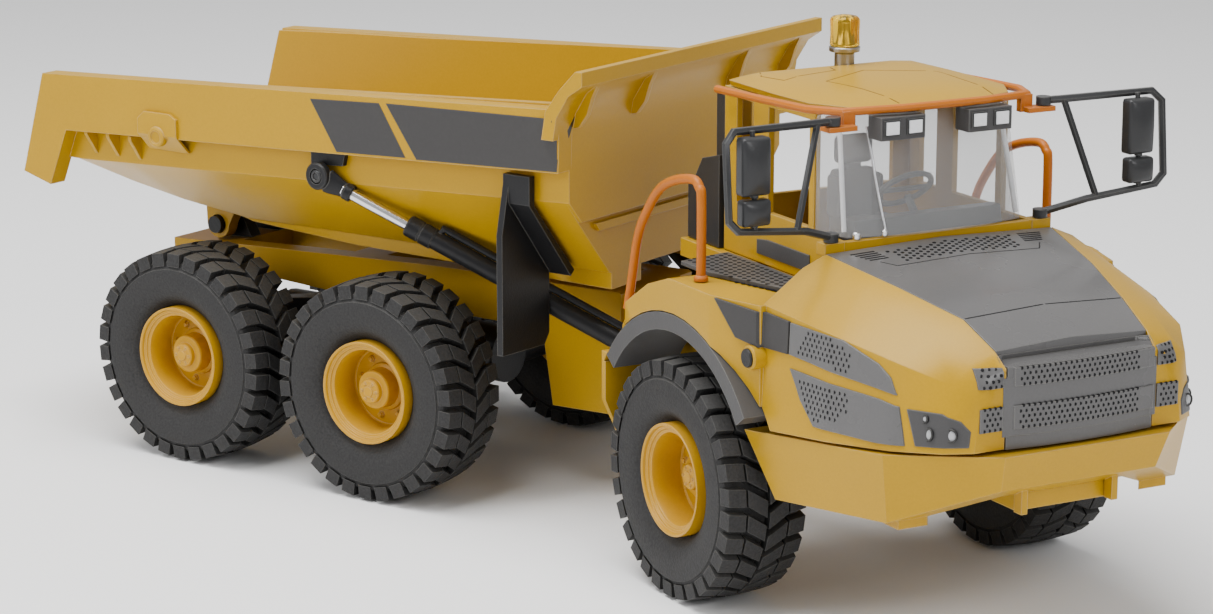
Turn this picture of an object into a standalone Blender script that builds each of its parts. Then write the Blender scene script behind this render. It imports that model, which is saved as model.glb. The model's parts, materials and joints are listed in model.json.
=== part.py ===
"""Toy articulated dump truck, about 1:26: a tractor hinged to a six-wheel load unit with a tipping body.

Sizes below are millimetres, and every builder turns them into metres. Two frames are used. Both have
their origin on the ground under the articulation pin, +X forward and +Z up: the load unit's frame is
straight, and the tractor's frame is turned about the pin by STEER_AT_REST.
"""

import math

import bmesh
import bpy
from mathutils import Matrix, Vector

MM = 0.001
GAP = 0.3  # between pieces that touch

# ---- driving dimensions (mm, degrees) ----------------------------------------------------------------
STEER_AT_REST = -26.5
WHEEL_RADIUS = 36.0
TYRE_WIDTH = 26.3
RIM_RADIUS = 16.75
TRACK = 109.3
PIVOT_TO_FRONT_AXLE = 68.9
PIVOT_TO_MID_AXLE = 102.3
BOGIE_WHEELBASE = 80.3

AXLE_TUBE_RADIUS = 7.0
SPINDLE_RADIUS = 3.0
RUNNING_CLEARANCE = 0.3
WHEEL_STEPS = 32

FRAME_WIDTH = 40.0
FRAME_TOP = 69.0
FRAME_REAR_X = -226.0
HITCH_HEIGHT = 39.0
ROLL_SHAFT_RADIUS = 6.0
PIN_RADIUS = 3.0

BODY_WIDTH = 130.0
BODY_TAIL_X = -256.0
BODY_FRONT_X = -28.0
BODY_WALL = 2.4
RAIL_THICKNESS = 5.7
BODY_FLOOR_HALF = 36.0
LIP_HALF = 67.6
HINGE_X = -208.0
HINGE_Z = 69.5

EYE = Vector((-122.0, 63.8, 103.9))  # rod eye on the dump body, left side
FOOT = Vector((-18.0, 26.5, 51.0))  # ball joint of the barrel, left side
BARREL_RADIUS = 3.1
ROD_RADIUS = 1.9
ROD_SHOWING = 33.5
EYE_RADIUS = 4.4

CAB_REAR_X = 41.0
CAB_FRONT_X = 106.0
CAB_HALF = 33.0
CAB_WALL = 2.0
DECK_TOP = 95.5
DECK_UNDER = 90.0
SILL_TOP = 110.3
ROOF_UNDER = 145.4
ROOF_TOP = 149.6

ARCH_RADIUS = 49.6
FENDER_OUTER = 66.0
WHEELHOUSE_INNER = 40.0

HOOD_CROWN = 1.2
ARCH_RAIL_RADIUS = 1.4
ROOF_RAIL_RADIUS = 1.2

MIRROR_PIVOT = (104.8, 35.6)
MIRROR_OUT = 73.4
MIRROR_TOP = 145.6
MIRROR_LOW = 118.4
EAR_Z = 141.9

YELLOW = (0.60, 0.36, 0.05, 1)
GREY = (0.20, 0.20, 0.20, 1)
DARK = (0.02, 0.02, 0.022, 1)
ORANGE = (0.60, 0.20, 0.03, 1)
CHROME = (0.8, 0.8, 0.8, 1)
CLEAR = (0.75, 0.78, 0.8, 0.35)
AMBER = (0.7, 0.35, 0.02, 1)


# ---- scene and helpers -------------------------------------------------------------------------------
for old in list(bpy.data.objects):
    bpy.data.objects.remove(old, do_unlink=True)

parts = bpy.data.collections.new("articulated_dump_truck")
bpy.context.scene.collection.children.link(parts)


def material(name, colour, roughness, metallic=0.0):
    made = bpy.data.materials.new(name)
    made.use_nodes = True
    shader = made.node_tree.nodes["Principled BSDF"]
    shader.inputs["Base Color"].default_value = colour
    shader.inputs["Roughness"].default_value = roughness
    shader.inputs["Metallic"].default_value = metallic
    return made


yellow = material("yellow plastic", YELLOW, 0.35)
grey = material("grey plastic", GREY, 0.45)
dark = material("black plastic", DARK, 0.4)
orange = material("orange plastic", ORANGE, 0.4)
rubber = material("tyre rubber", (0.025, 0.025, 0.027, 1), 0.75)
chrome = material("chromed rod", CHROME, 0.12, 1.0)
clear = material("clear plastic", CLEAR, 0.08)
amber = material("amber plastic", AMBER, 0.15)


def empty(name, parent, location=(0, 0, 0), turn=0.0):
    """An empty that carries pieces: a body's frame or a joint's axis."""
    made = bpy.data.objects.new(name, None)
    parts.objects.link(made)
    made.parent = parent
    made.location = Vector(location) * MM
    made.rotation_euler = (0, 0, math.radians(turn))
    return made


def place(name, mesh, parent, finish, location=(0, 0, 0)):
    made = bpy.data.objects.new(name, mesh)
    parts.objects.link(made)
    made.parent = parent
    made.location = Vector(location) * MM
    mesh.materials.clear()
    mesh.materials.append(finish)
    return made


def box(name, parent, finish, low, high):
    """A block between two opposite corners."""
    low, high = Vector(low), Vector(high)
    shape = bmesh.new()
    bmesh.ops.create_cube(shape, size=1.0)
    bmesh.ops.scale(shape, vec=(high - low) * MM, verts=shape.verts)
    mesh = bpy.data.meshes.new(name)
    shape.to_mesh(mesh)
    shape.free()
    return place(name, mesh, parent, finish, (low + high) / 2)


TO_PLANE = {
    "z": Matrix.Identity(4),
    "y": Matrix(((1, 0, 0, 0), (0, 0, -1, 0), (0, 1, 0, 0), (0, 0, 0, 1))),
    "x": Matrix(((0, 0, 1, 0), (1, 0, 0, 0), (0, 1, 0, 0), (0, 0, 0, 1))),
}


def evaluated_mesh(thing):
    bpy.context.view_layer.update()
    graph = bpy.context.evaluated_depsgraph_get()
    return bpy.data.meshes.new_from_object(thing.evaluated_get(graph))


def prism(name, parent, finish, outline, across, start, end):
    """A flat outline with thickness. across is the axis that it is extruded along, from start to end."""
    curve = bpy.data.curves.new(name, "CURVE")
    curve.dimensions = "2D"
    curve.fill_mode = "BOTH"
    curve.extrude = abs(end - start) / 2 * MM
    line = curve.splines.new("POLY")
    line.points.add(len(outline) - 1)
    for point, (a, b) in zip(line.points, outline):
        point.co = (a * MM, b * MM, 0, 1)
    line.use_cyclic_u = True
    drawn = bpy.data.objects.new(name + " outline", curve)
    parts.objects.link(drawn)
    mesh = evaluated_mesh(drawn)
    bpy.data.objects.remove(drawn, do_unlink=True)
    shape = bmesh.new()
    shape.from_mesh(mesh)
    bmesh.ops.remove_doubles(shape, verts=shape.verts, dist=0.00001)
    bmesh.ops.transform(shape, matrix=TO_PLANE[across], verts=shape.verts)
    bmesh.ops.recalc_face_normals(shape, faces=shape.faces)
    shape.to_mesh(mesh)
    shape.free()
    middle = {"x": (1, 0, 0), "y": (0, 1, 0), "z": (0, 0, 1)}[across]
    return place(name, mesh, parent, finish, Vector(middle) * (start + end) / 2)


def tube(name, parent, finish, points, radius, sides=2):
    """A round bar through points, with closed ends."""
    curve = bpy.data.curves.new(name, "CURVE")
    curve.dimensions = "3D"
    curve.bevel_depth = radius * MM
    curve.bevel_resolution = sides
    curve.use_fill_caps = True
    line = curve.splines.new("POLY")
    line.points.add(len(points) - 1)
    for point, at in zip(line.points, points):
        point.co = (*(Vector(at) * MM), 1)
    drawn = bpy.data.objects.new(name + " bar", curve)
    parts.objects.link(drawn)
    mesh = evaluated_mesh(drawn)
    bpy.data.objects.remove(drawn, do_unlink=True)
    shape = bmesh.new()
    shape.from_mesh(mesh)
    bmesh.ops.remove_doubles(shape, verts=shape.verts, dist=0.00001)
    bmesh.ops.recalc_face_normals(shape, faces=shape.faces)
    shape.to_mesh(mesh)
    shape.free()
    mesh.shade_smooth()
    mesh.set_sharp_from_angle(angle=math.radians(50))
    return place(name, mesh, parent, finish)


def cylinder(name, parent, finish, centre, radius, length, along="y", sides=24):
    """A round bar or a disc about one axis."""
    shape = bmesh.new()
    bmesh.ops.create_cone(
        shape, cap_ends=True, segments=sides, radius1=radius * MM, radius2=radius * MM, depth=length * MM
    )
    bmesh.ops.transform(shape, matrix=TO_PLANE[along], verts=shape.verts)
    bmesh.ops.recalc_face_normals(shape, faces=shape.faces)
    mesh = bpy.data.meshes.new(name)
    shape.to_mesh(mesh)
    shape.free()
    mesh.shade_smooth()
    mesh.set_sharp_from_angle(angle=math.radians(40))
    return place(name, mesh, parent, finish, centre)


def turned(name, parent, finish, profile, closed, outward=1, steps=WHEEL_STEPS):
    """A profile of (radius, height) turned about its axis, which then points to +Y or -Y."""
    mesh = bpy.data.meshes.new(name)
    edges = [(i, i + 1) for i in range(len(profile) - 1)]
    if closed:
        edges.append((len(profile) - 1, 0))
    mesh.from_pydata([(radius * MM, 0, height * MM) for radius, height in profile], edges, [])
    made = place(name, mesh, parent, finish)
    screw = made.modifiers.new("Screw", "SCREW")
    screw.steps = steps
    screw.render_steps = steps
    screw.use_merge_vertices = True
    screw.merge_threshold = 0.00001
    screw.use_smooth_shade = True
    made.rotation_euler = (-outward * math.pi / 2, 0, 0)
    return made


def loft(name, parent, finish, sections):
    """A closed solid through rings of points that have the same number of points each."""
    shape = bmesh.new()
    rings = [[shape.verts.new(Vector(point) * MM) for point in ring] for ring in sections]
    count = len(rings[0])
    for one, two in zip(rings, rings[1:]):
        for i in range(count):
            j = (i + 1) % count
            shape.faces.new((one[i], one[j], two[j], two[i]))
    shape.faces.new(rings[0])
    shape.faces.new(rings[-1])
    bmesh.ops.triangulate(shape, faces=shape.faces)
    bmesh.ops.recalc_face_normals(shape, faces=shape.faces)
    mesh = bpy.data.meshes.new(name)
    shape.to_mesh(mesh)
    shape.free()
    return place(name, mesh, parent, finish)


def combine(target, tools, operation):
    """Joins tools to the target, or cuts them from it, and removes them."""
    for tool in tools:
        step = target.modifiers.new(operation.title(), "BOOLEAN")
        step.operation = operation
        step.solver = "EXACT"
        step.object = tool
        mesh = evaluated_mesh(target)
        target.modifiers.remove(step)
        target.data = mesh
        bpy.data.objects.remove(tool, do_unlink=True)
    return target


def join(target, *tools):
    return combine(target, tools, "UNION")


def cut(target, *tools):
    return combine(target, tools, "DIFFERENCE")


def both(half):
    """A plan outline from its right half, which runs from the rear to the front at negative Y."""
    return half + [(x, -y) for x, y in reversed(half)]


def arc(centre, radius, start, end, steps):
    """Points on an arc, between two angles in degrees."""
    angles = [math.radians(start + (end - start) * i / steps) for i in range(steps + 1)]
    return [(centre[0] + radius * math.cos(a), centre[1] + radius * math.sin(a)) for a in angles]


def side_name(side):
    return "left" if side > 0 else "right"


# ---- wheels ------------------------------------------------------------------------------------------
TYRE_INNER = RIM_RADIUS + GAP
HALF_TYRE = TYRE_WIDTH / 2
TYRE_PROFILE = [
    (TYRE_INNER, HALF_TYRE - 2.2),
    (TYRE_INNER + 4.0, HALF_TYRE - 0.3),
    (TYRE_INNER + 9.5, HALF_TYRE),
    (WHEEL_RADIUS - 3.0, HALF_TYRE - 0.6),
    (WHEEL_RADIUS, HALF_TYRE - 2.6),
    (WHEEL_RADIUS, -HALF_TYRE + 2.6),
    (WHEEL_RADIUS - 3.0, -HALF_TYRE + 0.6),
    (TYRE_INNER + 9.5, -HALF_TYRE),
    (TYRE_INNER + 4.0, -HALF_TYRE + 0.3),
    (TYRE_INNER, -HALF_TYRE + 2.2),
]
HUB_BORE = SPINDLE_RADIUS + RUNNING_CLEARANCE
SPINDLE_END = TRACK / 2 + 0.6


def rim_profile(hub_face):
    """From the hub cap out over the dish and flange, and back inside to the spindle's blind bore."""
    flange = HALF_TYRE - 0.5
    return [
        (0, hub_face),
        (3.4, hub_face),
        (3.8, hub_face - 2.2),
        (5.6, hub_face - 2.6),
        (6.0, 1.2),
        (RIM_RADIUS - 3.9, 1.0),
        (RIM_RADIUS - 3.4, flange - 2.4),
        (RIM_RADIUS - 2.0, flange - 1.6),
        (RIM_RADIUS - 1.3, flange),
        (RIM_RADIUS, flange),
        (RIM_RADIUS, -flange + 2.0),
        (RIM_RADIUS - 1.6, -flange + 2.0),
        (RIM_RADIUS - 2.0, -1.2),
        (6.0, -1.4),
        (5.4, -6.0),
        (HUB_BORE, -6.0),
        (HUB_BORE, 1.0),
        (0, 1.0),
    ]


def wheel(where, parent, x, side, hub_face):
    """A tyre and its rim on an empty at the wheel's centre."""
    hub = empty(f"{where}_{side_name(side)}_axis", parent, (x, side * TRACK / 2, WHEEL_RADIUS))
    turned(f"{where}_tyre_{side_name(side)}", hub, rubber, TYRE_PROFILE, True, side)
    turned(f"{where}_rim_{side_name(side)}", hub, yellow, rim_profile(hub_face), False, side, 24)


def axle(name, parent, x, pad_top):
    """A live axle: housing, centre casing, spring pads and the two spindles that carry the wheels."""
    housing_half = TRACK / 2 - HALF_TYRE - 3.0
    made = cylinder(name, parent, dark, (x, 0, WHEEL_RADIUS), AXLE_TUBE_RADIUS, 2 * housing_half)
    casing = cylinder(name + " casing", parent, dark, (x, 0, WHEEL_RADIUS), 9.6, 15.0, "x", 20)
    spindle = cylinder(name + " spindle", parent, dark, (x, 0, WHEEL_RADIUS), SPINDLE_RADIUS, 2 * SPINDLE_END)
    pads = [
        box(
            name + " pad", parent, dark,
            (x - 5, side * 14.5 - 3.5, WHEEL_RADIUS), (x + 5, side * 14.5 + 3.5, pad_top),
        )
        for side in (-1, 1)
    ]
    return join(made, casing, spindle, *pads)


# ---- load unit ---------------------------------------------------------------------------------------
root = empty("truck_centre", None)
load = empty("load_unit_frame", root)
MID_X = -PIVOT_TO_MID_AXLE
REAR_X = MID_X - BOGIE_WHEELBASE
BOGIE_X = (MID_X + REAR_X) / 2
RAIL_UNDER = 53.0
BOGIE_BEAM_UNDER = WHEEL_RADIUS + AXLE_TUBE_RADIUS + GAP
BEARING_FRONT = -14.0
BEARING_REAR = -36.0


def rear_frame():
    half = FRAME_WIDTH / 2
    outline = [
        (FRAME_REAR_X, 57.0),
        (-150.0, RAIL_UNDER),
        (-66.0, RAIL_UNDER),
        (-62.0, 28.0),
        (BEARING_FRONT, 29.0),
        (BEARING_FRONT, 57.0),
        (-36.0, FRAME_TOP),
        (-112.0, FRAME_TOP - 1.0),
        (FRAME_REAR_X, 63.0),
    ]
    made = prism("rear_frame", load, yellow, outline, "y", -half, half)
    bays = [(-200.0, -150.0), (-136.0, -92.0), (-80.0, -48.0)]
    for start, end in bays:
        cut(made, box("bay", load, yellow, (start, -half + 7, 20), (end, half - 7, 80)))
    shaft_bore = ROLL_SHAFT_RADIUS + RUNNING_CLEARANCE
    nose = BEARING_FRONT - 1.0
    cut(
        made,
        box("nose right", load, yellow, (nose - 20, -half - 1, 20), (BEARING_FRONT + 1, -13, 80)),
        box("nose left", load, yellow, (nose - 20, 13, 20), (BEARING_FRONT + 1, half + 1, 80)),
        cylinder("bore", load, yellow, (-25, 0, HITCH_HEIGHT), shaft_bore, 40, "x"),
    )
    studs = cylinder("studs", load, yellow, (FOOT.x, 0, FOOT.z), 1.6, 2 * (FOOT.y + 1.2), "y", 12)
    bracket = box("stud bracket", load, yellow, (FOOT.x - 4, -20, FOOT.z - 5), (FOOT.x + 3.5, 20, FOOT.z + 5))
    return join(made, bracket, studs)


def bogie():
    """Two rocking beams over the axle ends, on one cross tube."""
    top = BOGIE_BEAM_UNDER + 6.0
    made = cylinder("bogie", load, dark, (BOGIE_X, 0, BOGIE_BEAM_UNDER + 3.6), 3.6, 60.0)
    for side in (-1, 1):
        outline = [
            (REAR_X - 6, BOGIE_BEAM_UNDER),
            (MID_X + 6, BOGIE_BEAM_UNDER),
            (MID_X + 6, top - 1.5),
            (BOGIE_X + 12, top + 4),
            (BOGIE_X - 12, top + 4),
            (REAR_X - 6, top - 1.5),
        ]
        join(made, prism("beam", load, dark, outline, "y", side * 23.0, side * 31.0))
    return made


def hinge_mount():
    """The tipping axis: a cross tube on two brackets on the frame's tail."""
    made = cylinder("dump_hinge_mount", load, grey, (HINGE_X, 0, HINGE_Z), 3.0, 38.0)
    for side in (-1, 1):
        top = HINGE_Z + 4
        outline = [(HINGE_X - 7, 63.9), (HINGE_X + 9, 64.6), (HINGE_X + 4, top), (HINGE_X - 4, top)]
        join(made, prism("bracket", load, grey, outline, "y", side * 5.0, side * 10.0))
    return made


rear_frame()
bogie()
axle("mid_axle", load, MID_X, BOGIE_BEAM_UNDER - 2)
axle("rear_axle", load, REAR_X, BOGIE_BEAM_UNDER - 2)
hinge_mount()
for end_name, end_x in (("mid", MID_X), ("rear", REAR_X)):
    for end_side in (-1, 1):
        wheel(end_name, load, end_x, end_side, 10.4)


# ---- hitch -------------------------------------------------------------------------------------------
HITCH_BARREL_HALF = 7.0


def hitch():
    """A roll shaft in the load unit's bearing, with an upright barrel that the tractor's pin goes through."""
    made = cylinder("hitch_link", load, dark, (-18.5, 0, HITCH_HEIGHT), ROLL_SHAFT_RADIUS, 31.0, "x")
    join(made, cylinder("barrel", load, dark, (0, 0, HITCH_HEIGHT), 6.6, 2 * HITCH_BARREL_HALF, "z"))
    bore = cylinder("bore", load, dark, (0, 0, HITCH_HEIGHT), PIN_RADIUS + RUNNING_CLEARANCE, 30, "z")
    return cut(made, bore)


hitch()


# ---- dump body ---------------------------------------------------------------------------------------
dump = empty("dump_hinge_axis", load, (HINGE_X, 0, HINGE_Z))
BODY_HALF = BODY_WIDTH / 2
INNER_HALF = BODY_HALF - RAIL_THICKNESS


def dump_shell_rings(offset, rise):
    """Cross-sections from the front wall to the tail. offset is how far inside the outer skin they lie."""
    stations = [
        (BODY_FRONT_X, 79.5, 105.5, 136.0),
        (-140.0, 79.0, 100.5, 130.0),
        (-177.0, 78.6, 98.8, 128.0),
        (-206.0, 81.6, 97.6, 126.8),
        (-230.0, 85.4, 96.6, 125.6),
        (BODY_TAIL_X, 90.5, 97.0, 124.0),
    ]
    rings = []
    for x, floor, kink, top in stations:
        bottom = BODY_FLOOR_HALF - offset * 0.6
        side = INNER_HALF - offset
        half = [(bottom, floor + offset), (side, kink + offset * 0.7), (side, top + rise)]
        ring = [(x, -y, z) for y, z in half] + [(x, y, z) for y, z in reversed(half)]
        rings.append(ring)
    return rings


def dump_body():
    parent = empty("dump_body_origin", dump, (-HINGE_X, 0, -HINGE_Z))
    made = loft("dump_body", parent, yellow, dump_shell_rings(0.0, 0.0))
    for side in (-1, 1):
        outline = [
            (-26.0, 135.1), (-26.6, 115.7), (-232.1, 107.1), (-240.2, 87.6), (-252.5, 90.9), (-242.1, 125.6),
        ]
        rail = prism("side rail", parent, yellow, outline, "y", side * (INNER_HALF - 1), side * BODY_HALF)
        join(made, rail)
    upper_wall = [
        (-52.7, 98.5), (-INNER_HALF, 105.5), (-INNER_HALF, 131.0),
        (INNER_HALF, 131.0), (INNER_HALF, 105.5), (52.7, 98.5),
    ]
    join(made, prism("upper wall", parent, yellow, upper_wall, "x", -31.0, -26.6))
    lip = [
        (-26.6, 126.0), (-25.4, 133.0), (-21.0, 140.0), (-15.9, 143.4), (-15.9, 147.8), (-18.4, 147.8),
        (-24.5, 141.5), (-29.5, 134.8), (-31.0, 126.0),
    ]
    join(made, prism("lip", parent, yellow, lip, "y", -LIP_HALF, LIP_HALF))
    cavity_rings = dump_shell_rings(BODY_WALL, 20.0)
    first = [(BODY_FRONT_X - 3.2, y, z) for x, y, z in cavity_rings[0]]
    last = [(x - 6, y, z) for x, y, z in cavity_rings[-1]]
    cavity = loft("cavity", parent, yellow, [first, *cavity_rings[1:-1], last])
    cut(made, cavity)
    sweep = [
        (-242.1, 126.5), (-252.2, 92.2), (-256.2, 92.2), (-256.2, 60.0), (-300.0, 60.0), (-300.0, 180.0),
        (-242.1, 180.0),
    ]
    cut(made, prism("tail sweep", parent, yellow, sweep, "y", -80, 80))
    for y in (-57.0, -26.5, 26.5, 57.0):
        gusset = [
            (-28.0, 128.0), (-24.0, 129.0), (-21.0, 133.0), (-19.2, 138.5), (-17.0, 143.0), (-21.0, 146.0),
        ]
        join(made, prism("lip gusset", parent, yellow, gusset, "y", y - 0.9, y + 0.9))
    for side in (-1, 1):
        rail = [(-28.0, 74.0), (-28.0, 81.0), (-190.0, 81.0), (-176.0, 77.5), (-130.0, 75.0)]
        join(made, prism("floor rail", parent, yellow, rail, "y", side * 19.0, side * 35.0))
        lug = [(HINGE_X - 5.5, 85.0), *arc((HINGE_X, HINGE_Z), 5.0, 180, 360, 8), (HINGE_X + 12, 82.5)]
        join(made, prism("hinge lug", parent, yellow, lug, "y", side * 12.5, side * 17.0))
    return cut(made, cylinder("hinge bore", parent, yellow, (HINGE_X, 0, HINGE_Z), 3.3, 60))


def mudguard(side):
    """The plate ahead of the mid wheel, hung from the body's side."""
    x = -PIVOT_TO_MID_AXLE + WHEEL_RADIUS + 18.0
    parent = empty(f"mudguard_{side_name(side)}_origin", dump, (-HINGE_X, 0, -HINGE_Z))
    outline = [
        (side * 66.0, 56.0), (side * 66.0, 93.8), (side * 61.8, 112.8), (side * 59.8, 112.8),
        (side * 59.8, 104.0), (side * 43.4, 84.6), (side * 41.8, 79.0), (side * 41.8, 59.0),
        (side * 44.4, 55.4),
    ]
    made = prism(f"mudguard_{side_name(side)}", parent, dark, outline, "x", x - 1.1, x + 1.1)
    brace = [
        (side * 60.0, 112.8), (side * 62.6, 112.8), (side * 62.6, 103.8), (side * 41.2, 78.0),
        (side * 39.2, 79.6), (side * 60.0, 103.4),
    ]
    return join(made, prism("brace", parent, dark, brace, "x", x - 1.0, x + 9.0))


def hoist_lug(side):
    parent = empty(f"hoist_lug_{side_name(side)}_origin", dump, (-HINGE_X, 0, -HINGE_Z))
    x, y, z = EYE.x, INNER_HALF + GAP, EYE.z
    outline = [
        (x - 5.0, 111.0), (x - 5.0, z - 1), (x - 3.4, z - 3.6), (x - 0.6, z - 4.2), (x, z + 3.2),
        (x + 8, z + 3.6), (x + 9.0, 111.4),
    ]
    return prism(f"hoist_lug_{side_name(side)}", parent, dark, outline, "y", side * y, side * (y + 1.9))


dump_body()
for dump_side in (-1, 1):
    mudguard(dump_side)
    hoist_lug(dump_side)


# ---- hoist cylinders ---------------------------------------------------------------------------------
def hoist(side):
    """A barrel on its ball joint and a chromed rod that slides in it, in line with the body's lug."""
    foot = Vector((FOOT.x, side * FOOT.y, FOOT.z))
    eye = Vector((EYE.x, side * EYE.y, EYE.z))
    along = (eye - foot).normalized()
    length = (eye - foot).length
    gland = length - ROD_SHOWING
    name = side_name(side)
    pivot = empty(f"hoist_{name}_axis", load, foot)

    def at(distance, up=0.0):
        lift = Vector((0, 0, 1)) - along * along.z
        return along * distance + lift.normalized() * up

    barrel = tube(f"hoist_barrel_{name}", pivot, dark, [at(4.0), at(gland)], BARREL_RADIUS, 4)
    join(
        barrel,
        tube("gland ring", pivot, dark, [at(gland - 9), at(gland + 0.5)], BARREL_RADIUS + 0.45, 4),
        tube("feed pipe", pivot, dark, [at(6.0), at(6.0, 4.9), at(gland - 14, 4.9), at(gland - 14)], 1.1),
        cylinder("foot eye", pivot, dark, (0, 0, 0), 4.2, 3.2),
    )
    cut(
        barrel,
        tube("rod bore", pivot, dark, [at(7.0), at(gland + 3)], ROD_RADIUS + RUNNING_CLEARANCE, 4),
        cylinder("foot bore", pivot, dark, (0, 0, 0), 2.3, 12, "y", 16),
    )
    rod = tube(f"hoist_rod_{name}", pivot, chrome, [at(8.5), at(length - 3)], ROD_RADIUS, 4)
    neck = tube("neck", pivot, dark, [at(length - 13), at(length - 9)], ROD_RADIUS + 0.25, 3)
    end = cylinder("eye", pivot, dark, at(length), EYE_RADIUS, 3.0)
    hole = cylinder("eye hole", pivot, dark, at(length), 1.5, 12, "y", 16)
    return cut(join(rod, neck, end), hole)


for hoist_side in (-1, 1):
    hoist(hoist_side)


# ---- tractor -----------------------------------------------------------------------------------------
tractor = empty("tractor_steering_axis", root, (0, 0, 0), STEER_AT_REST)
FRONT_X = PIVOT_TO_FRONT_AXLE
ARCH = (FRONT_X, WHEEL_RADIUS)
CHASSIS_HALF = 15.0
CHASSIS_UNDER = 46.0
CHASSIS_TOP = 60.0


def front_frame():
    """Chassis box, the fork with its steering pin, and the post that the deck stands on."""
    low, high = (12, -CHASSIS_HALF, CHASSIS_UNDER), (168, CHASSIS_HALF, CHASSIS_TOP)
    made = box("front_frame", tractor, dark, low, high)
    barrel_top = HITCH_HEIGHT + HITCH_BARREL_HALF
    barrel_low = HITCH_HEIGHT - HITCH_BARREL_HALF
    lug = [(14.0, -9.0), (14.0, 9.0), *arc((0, 0), 7.2, 90, 270, 10)]
    join(
        made,
        box("fork plate", tractor, dark, (9.5, -12, barrel_low - 6), (17, 12, CHASSIS_TOP)),
        prism("upper lug", tractor, dark, lug, "z", barrel_top + GAP, barrel_top + 5.0),
        prism("lower lug", tractor, dark, lug, "z", barrel_low - 5.0, barrel_low - GAP),
        cylinder("pin", tractor, dark, (0, 0, HITCH_HEIGHT), PIN_RADIUS, 2 * HITCH_BARREL_HALF + 9, "z"),
        box("deck post", tractor, dark, (50, -13, CHASSIS_TOP - 5), (92, 13, DECK_UNDER - GAP)),
    )
    return made


def cowl_ring(x, hood_half, hood_z, shoulder, side, foot):
    """One cross-section of the nose. The middle is sunk so that the hood lies in it."""
    sunk = hood_z - 2.6
    half = [(foot[0], foot[1]), side, shoulder, (hood_half, hood_z), (hood_half - 0.05, sunk)]
    return [(x, -y, z) for y, z in half] + [(x, y, z) for y, z in reversed(half)]


HOOD_STATIONS = [(106.8, 38.5, 107.6), (135.0, 32.5, 103.2), (157.5, 26.5, 98.4), (170.4, 25.0, 92.3)]


def tractor_body():
    """Deck, fenders and nose in one moulding, open underneath."""
    fender = [
        (25.5, 58.0), (25.5, 72.0), (28.0, 75.6), (33.0, 78.0), (41.0, 83.5), (53.7, 91.3),
        (66.0, DECK_TOP - 0.1),
        (70.0, DECK_TOP),
        (108.0, DECK_TOP), (108.0, 60.0),
    ]
    made = prism("tractor_body", tractor, yellow, fender, "y", -FENDER_OUTER, FENDER_OUTER)
    join(made, box("rear deck", tractor, yellow, (20, -36, DECK_UNDER), (60, 36, DECK_TOP)))
    rings = [
        cowl_ring(106.8, 38.5, 107.6, (46.0, 104.5), (58.5, 95.5), (60.0, 60.0)),
        cowl_ring(135.0, 32.5, 103.2, (40.0, 100.6), (53.2, 92.2), (55.6, 62.6)),
        cowl_ring(157.5, 26.5, 98.4, (35.0, 95.4), (46.6, 88.6), (49.4, 64.8)),
        cowl_ring(170.4, 25.0, 92.3, (32.0, 90.0), (38.5, 84.5), (41.0, 66.0)),
        cowl_ring(175.0, 24.4, 88.5, (29.0, 86.0), (32.5, 80.0), (34.0, 66.4)),
    ]
    join(made, loft("nose", tractor, yellow, rings))
    trim = [
        (90.0, -70.0), (90.0, -FENDER_OUTER), (108.5, -60.0), (140.0, -54.9), (140.0, -80.0), (90.0, -80.0),
    ]
    for side in (-1, 1):
        outline = [(x, -side * y) for x, y in trim]
        cut(made, prism("fender trim", tractor, yellow, outline, "z", 50, 120))
        corner = [(20.0, side * 59.0), (27.0, side * 59.0), (42.0, side * 67.0), (20.0, side * 67.0)]
        cut(made, prism("rear corner", tractor, yellow, corner, "z", 65, 120))
        middle = side * (WHEELHOUSE_INNER + 20)
        cut(made, cylinder("arch", tractor, yellow, (*ARCH[:1], middle, ARCH[1]), ARCH_RADIUS, 40, "y", 48))
    for side in (-1, 1):
        half = ((66.0, 62.0), (66.0, 50.0), (60.0, 36.5), (50.0, 36.5), (42.0, 62.0))
        skirt = [(side * y, z) for y, z in half]
        join(made, prism("skirt", tractor, yellow, skirt, "x", 25.5, 27.7))
    cut(
        made,
        box("under cab", tractor, yellow, (10, -38, 30), (104, 38, DECK_UNDER)),
        box("under hood", tractor, yellow, (100, -36, 30), (150, 36, 88)),
        box("under nose", tractor, yellow, (149, -24, 30), (168, 24, 84)),
        box("grille seat", tractor, yellow, (172.2, -24.4, 60), (180, 24.4, 100)),
    )
    return made


def hood():
    rings = []
    for x, half, z in HOOD_STATIONS:
        low = z - 2.3
        edge = half - GAP
        ring = [(x, -edge, low), (x, -edge, z), (x, 0, z + HOOD_CROWN), (x, edge, z), (x, edge, low)]
        rings.append(ring)
    return loft("hood", tractor, grey, rings)


def grille():
    outline = [
        (172.5, -24.0), (175.2, -24.0), (176.4, -12.0), (176.8, 0.0), (176.4, 12.0), (175.2, 24.0),
        (172.5, 24.0),
    ]
    return prism("grille", tractor, grey, outline, "z", 66.2, 89.0)


def bumper():
    """A facetted band round the nose, with a beam slung under its front."""
    top = [(99.5, -60.0, 58.0), (157.3, -51.5, 64.0), (179.7, -27.1, 65.6)]
    low = [(112.6, -57.5, 40.5), (155.5, -48.5, 44.0), (176.0, -25.5, 55.0)]
    rings = [half + [(x, -y, z) for x, y, z in reversed(half)] for half in (low, top)]
    made = loft("front_bumper", tractor, yellow, rings)
    join(made, box("beam", tractor, yellow, (143, -45, 41.7), (156, 45, 47.5)))
    join(made, *[
        box("beam plate", tractor, yellow, (148, side * 15 - 1, 46), (172, side * 15 + 1, 56.5))
        for side in (-1, 1)
    ])
    inside = both([(80.0, -53.5), (149.0, -44.0), (168.5, -20.0)])
    return cut(made, prism("inside", tractor, yellow, inside, "z", 30, 80))


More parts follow.
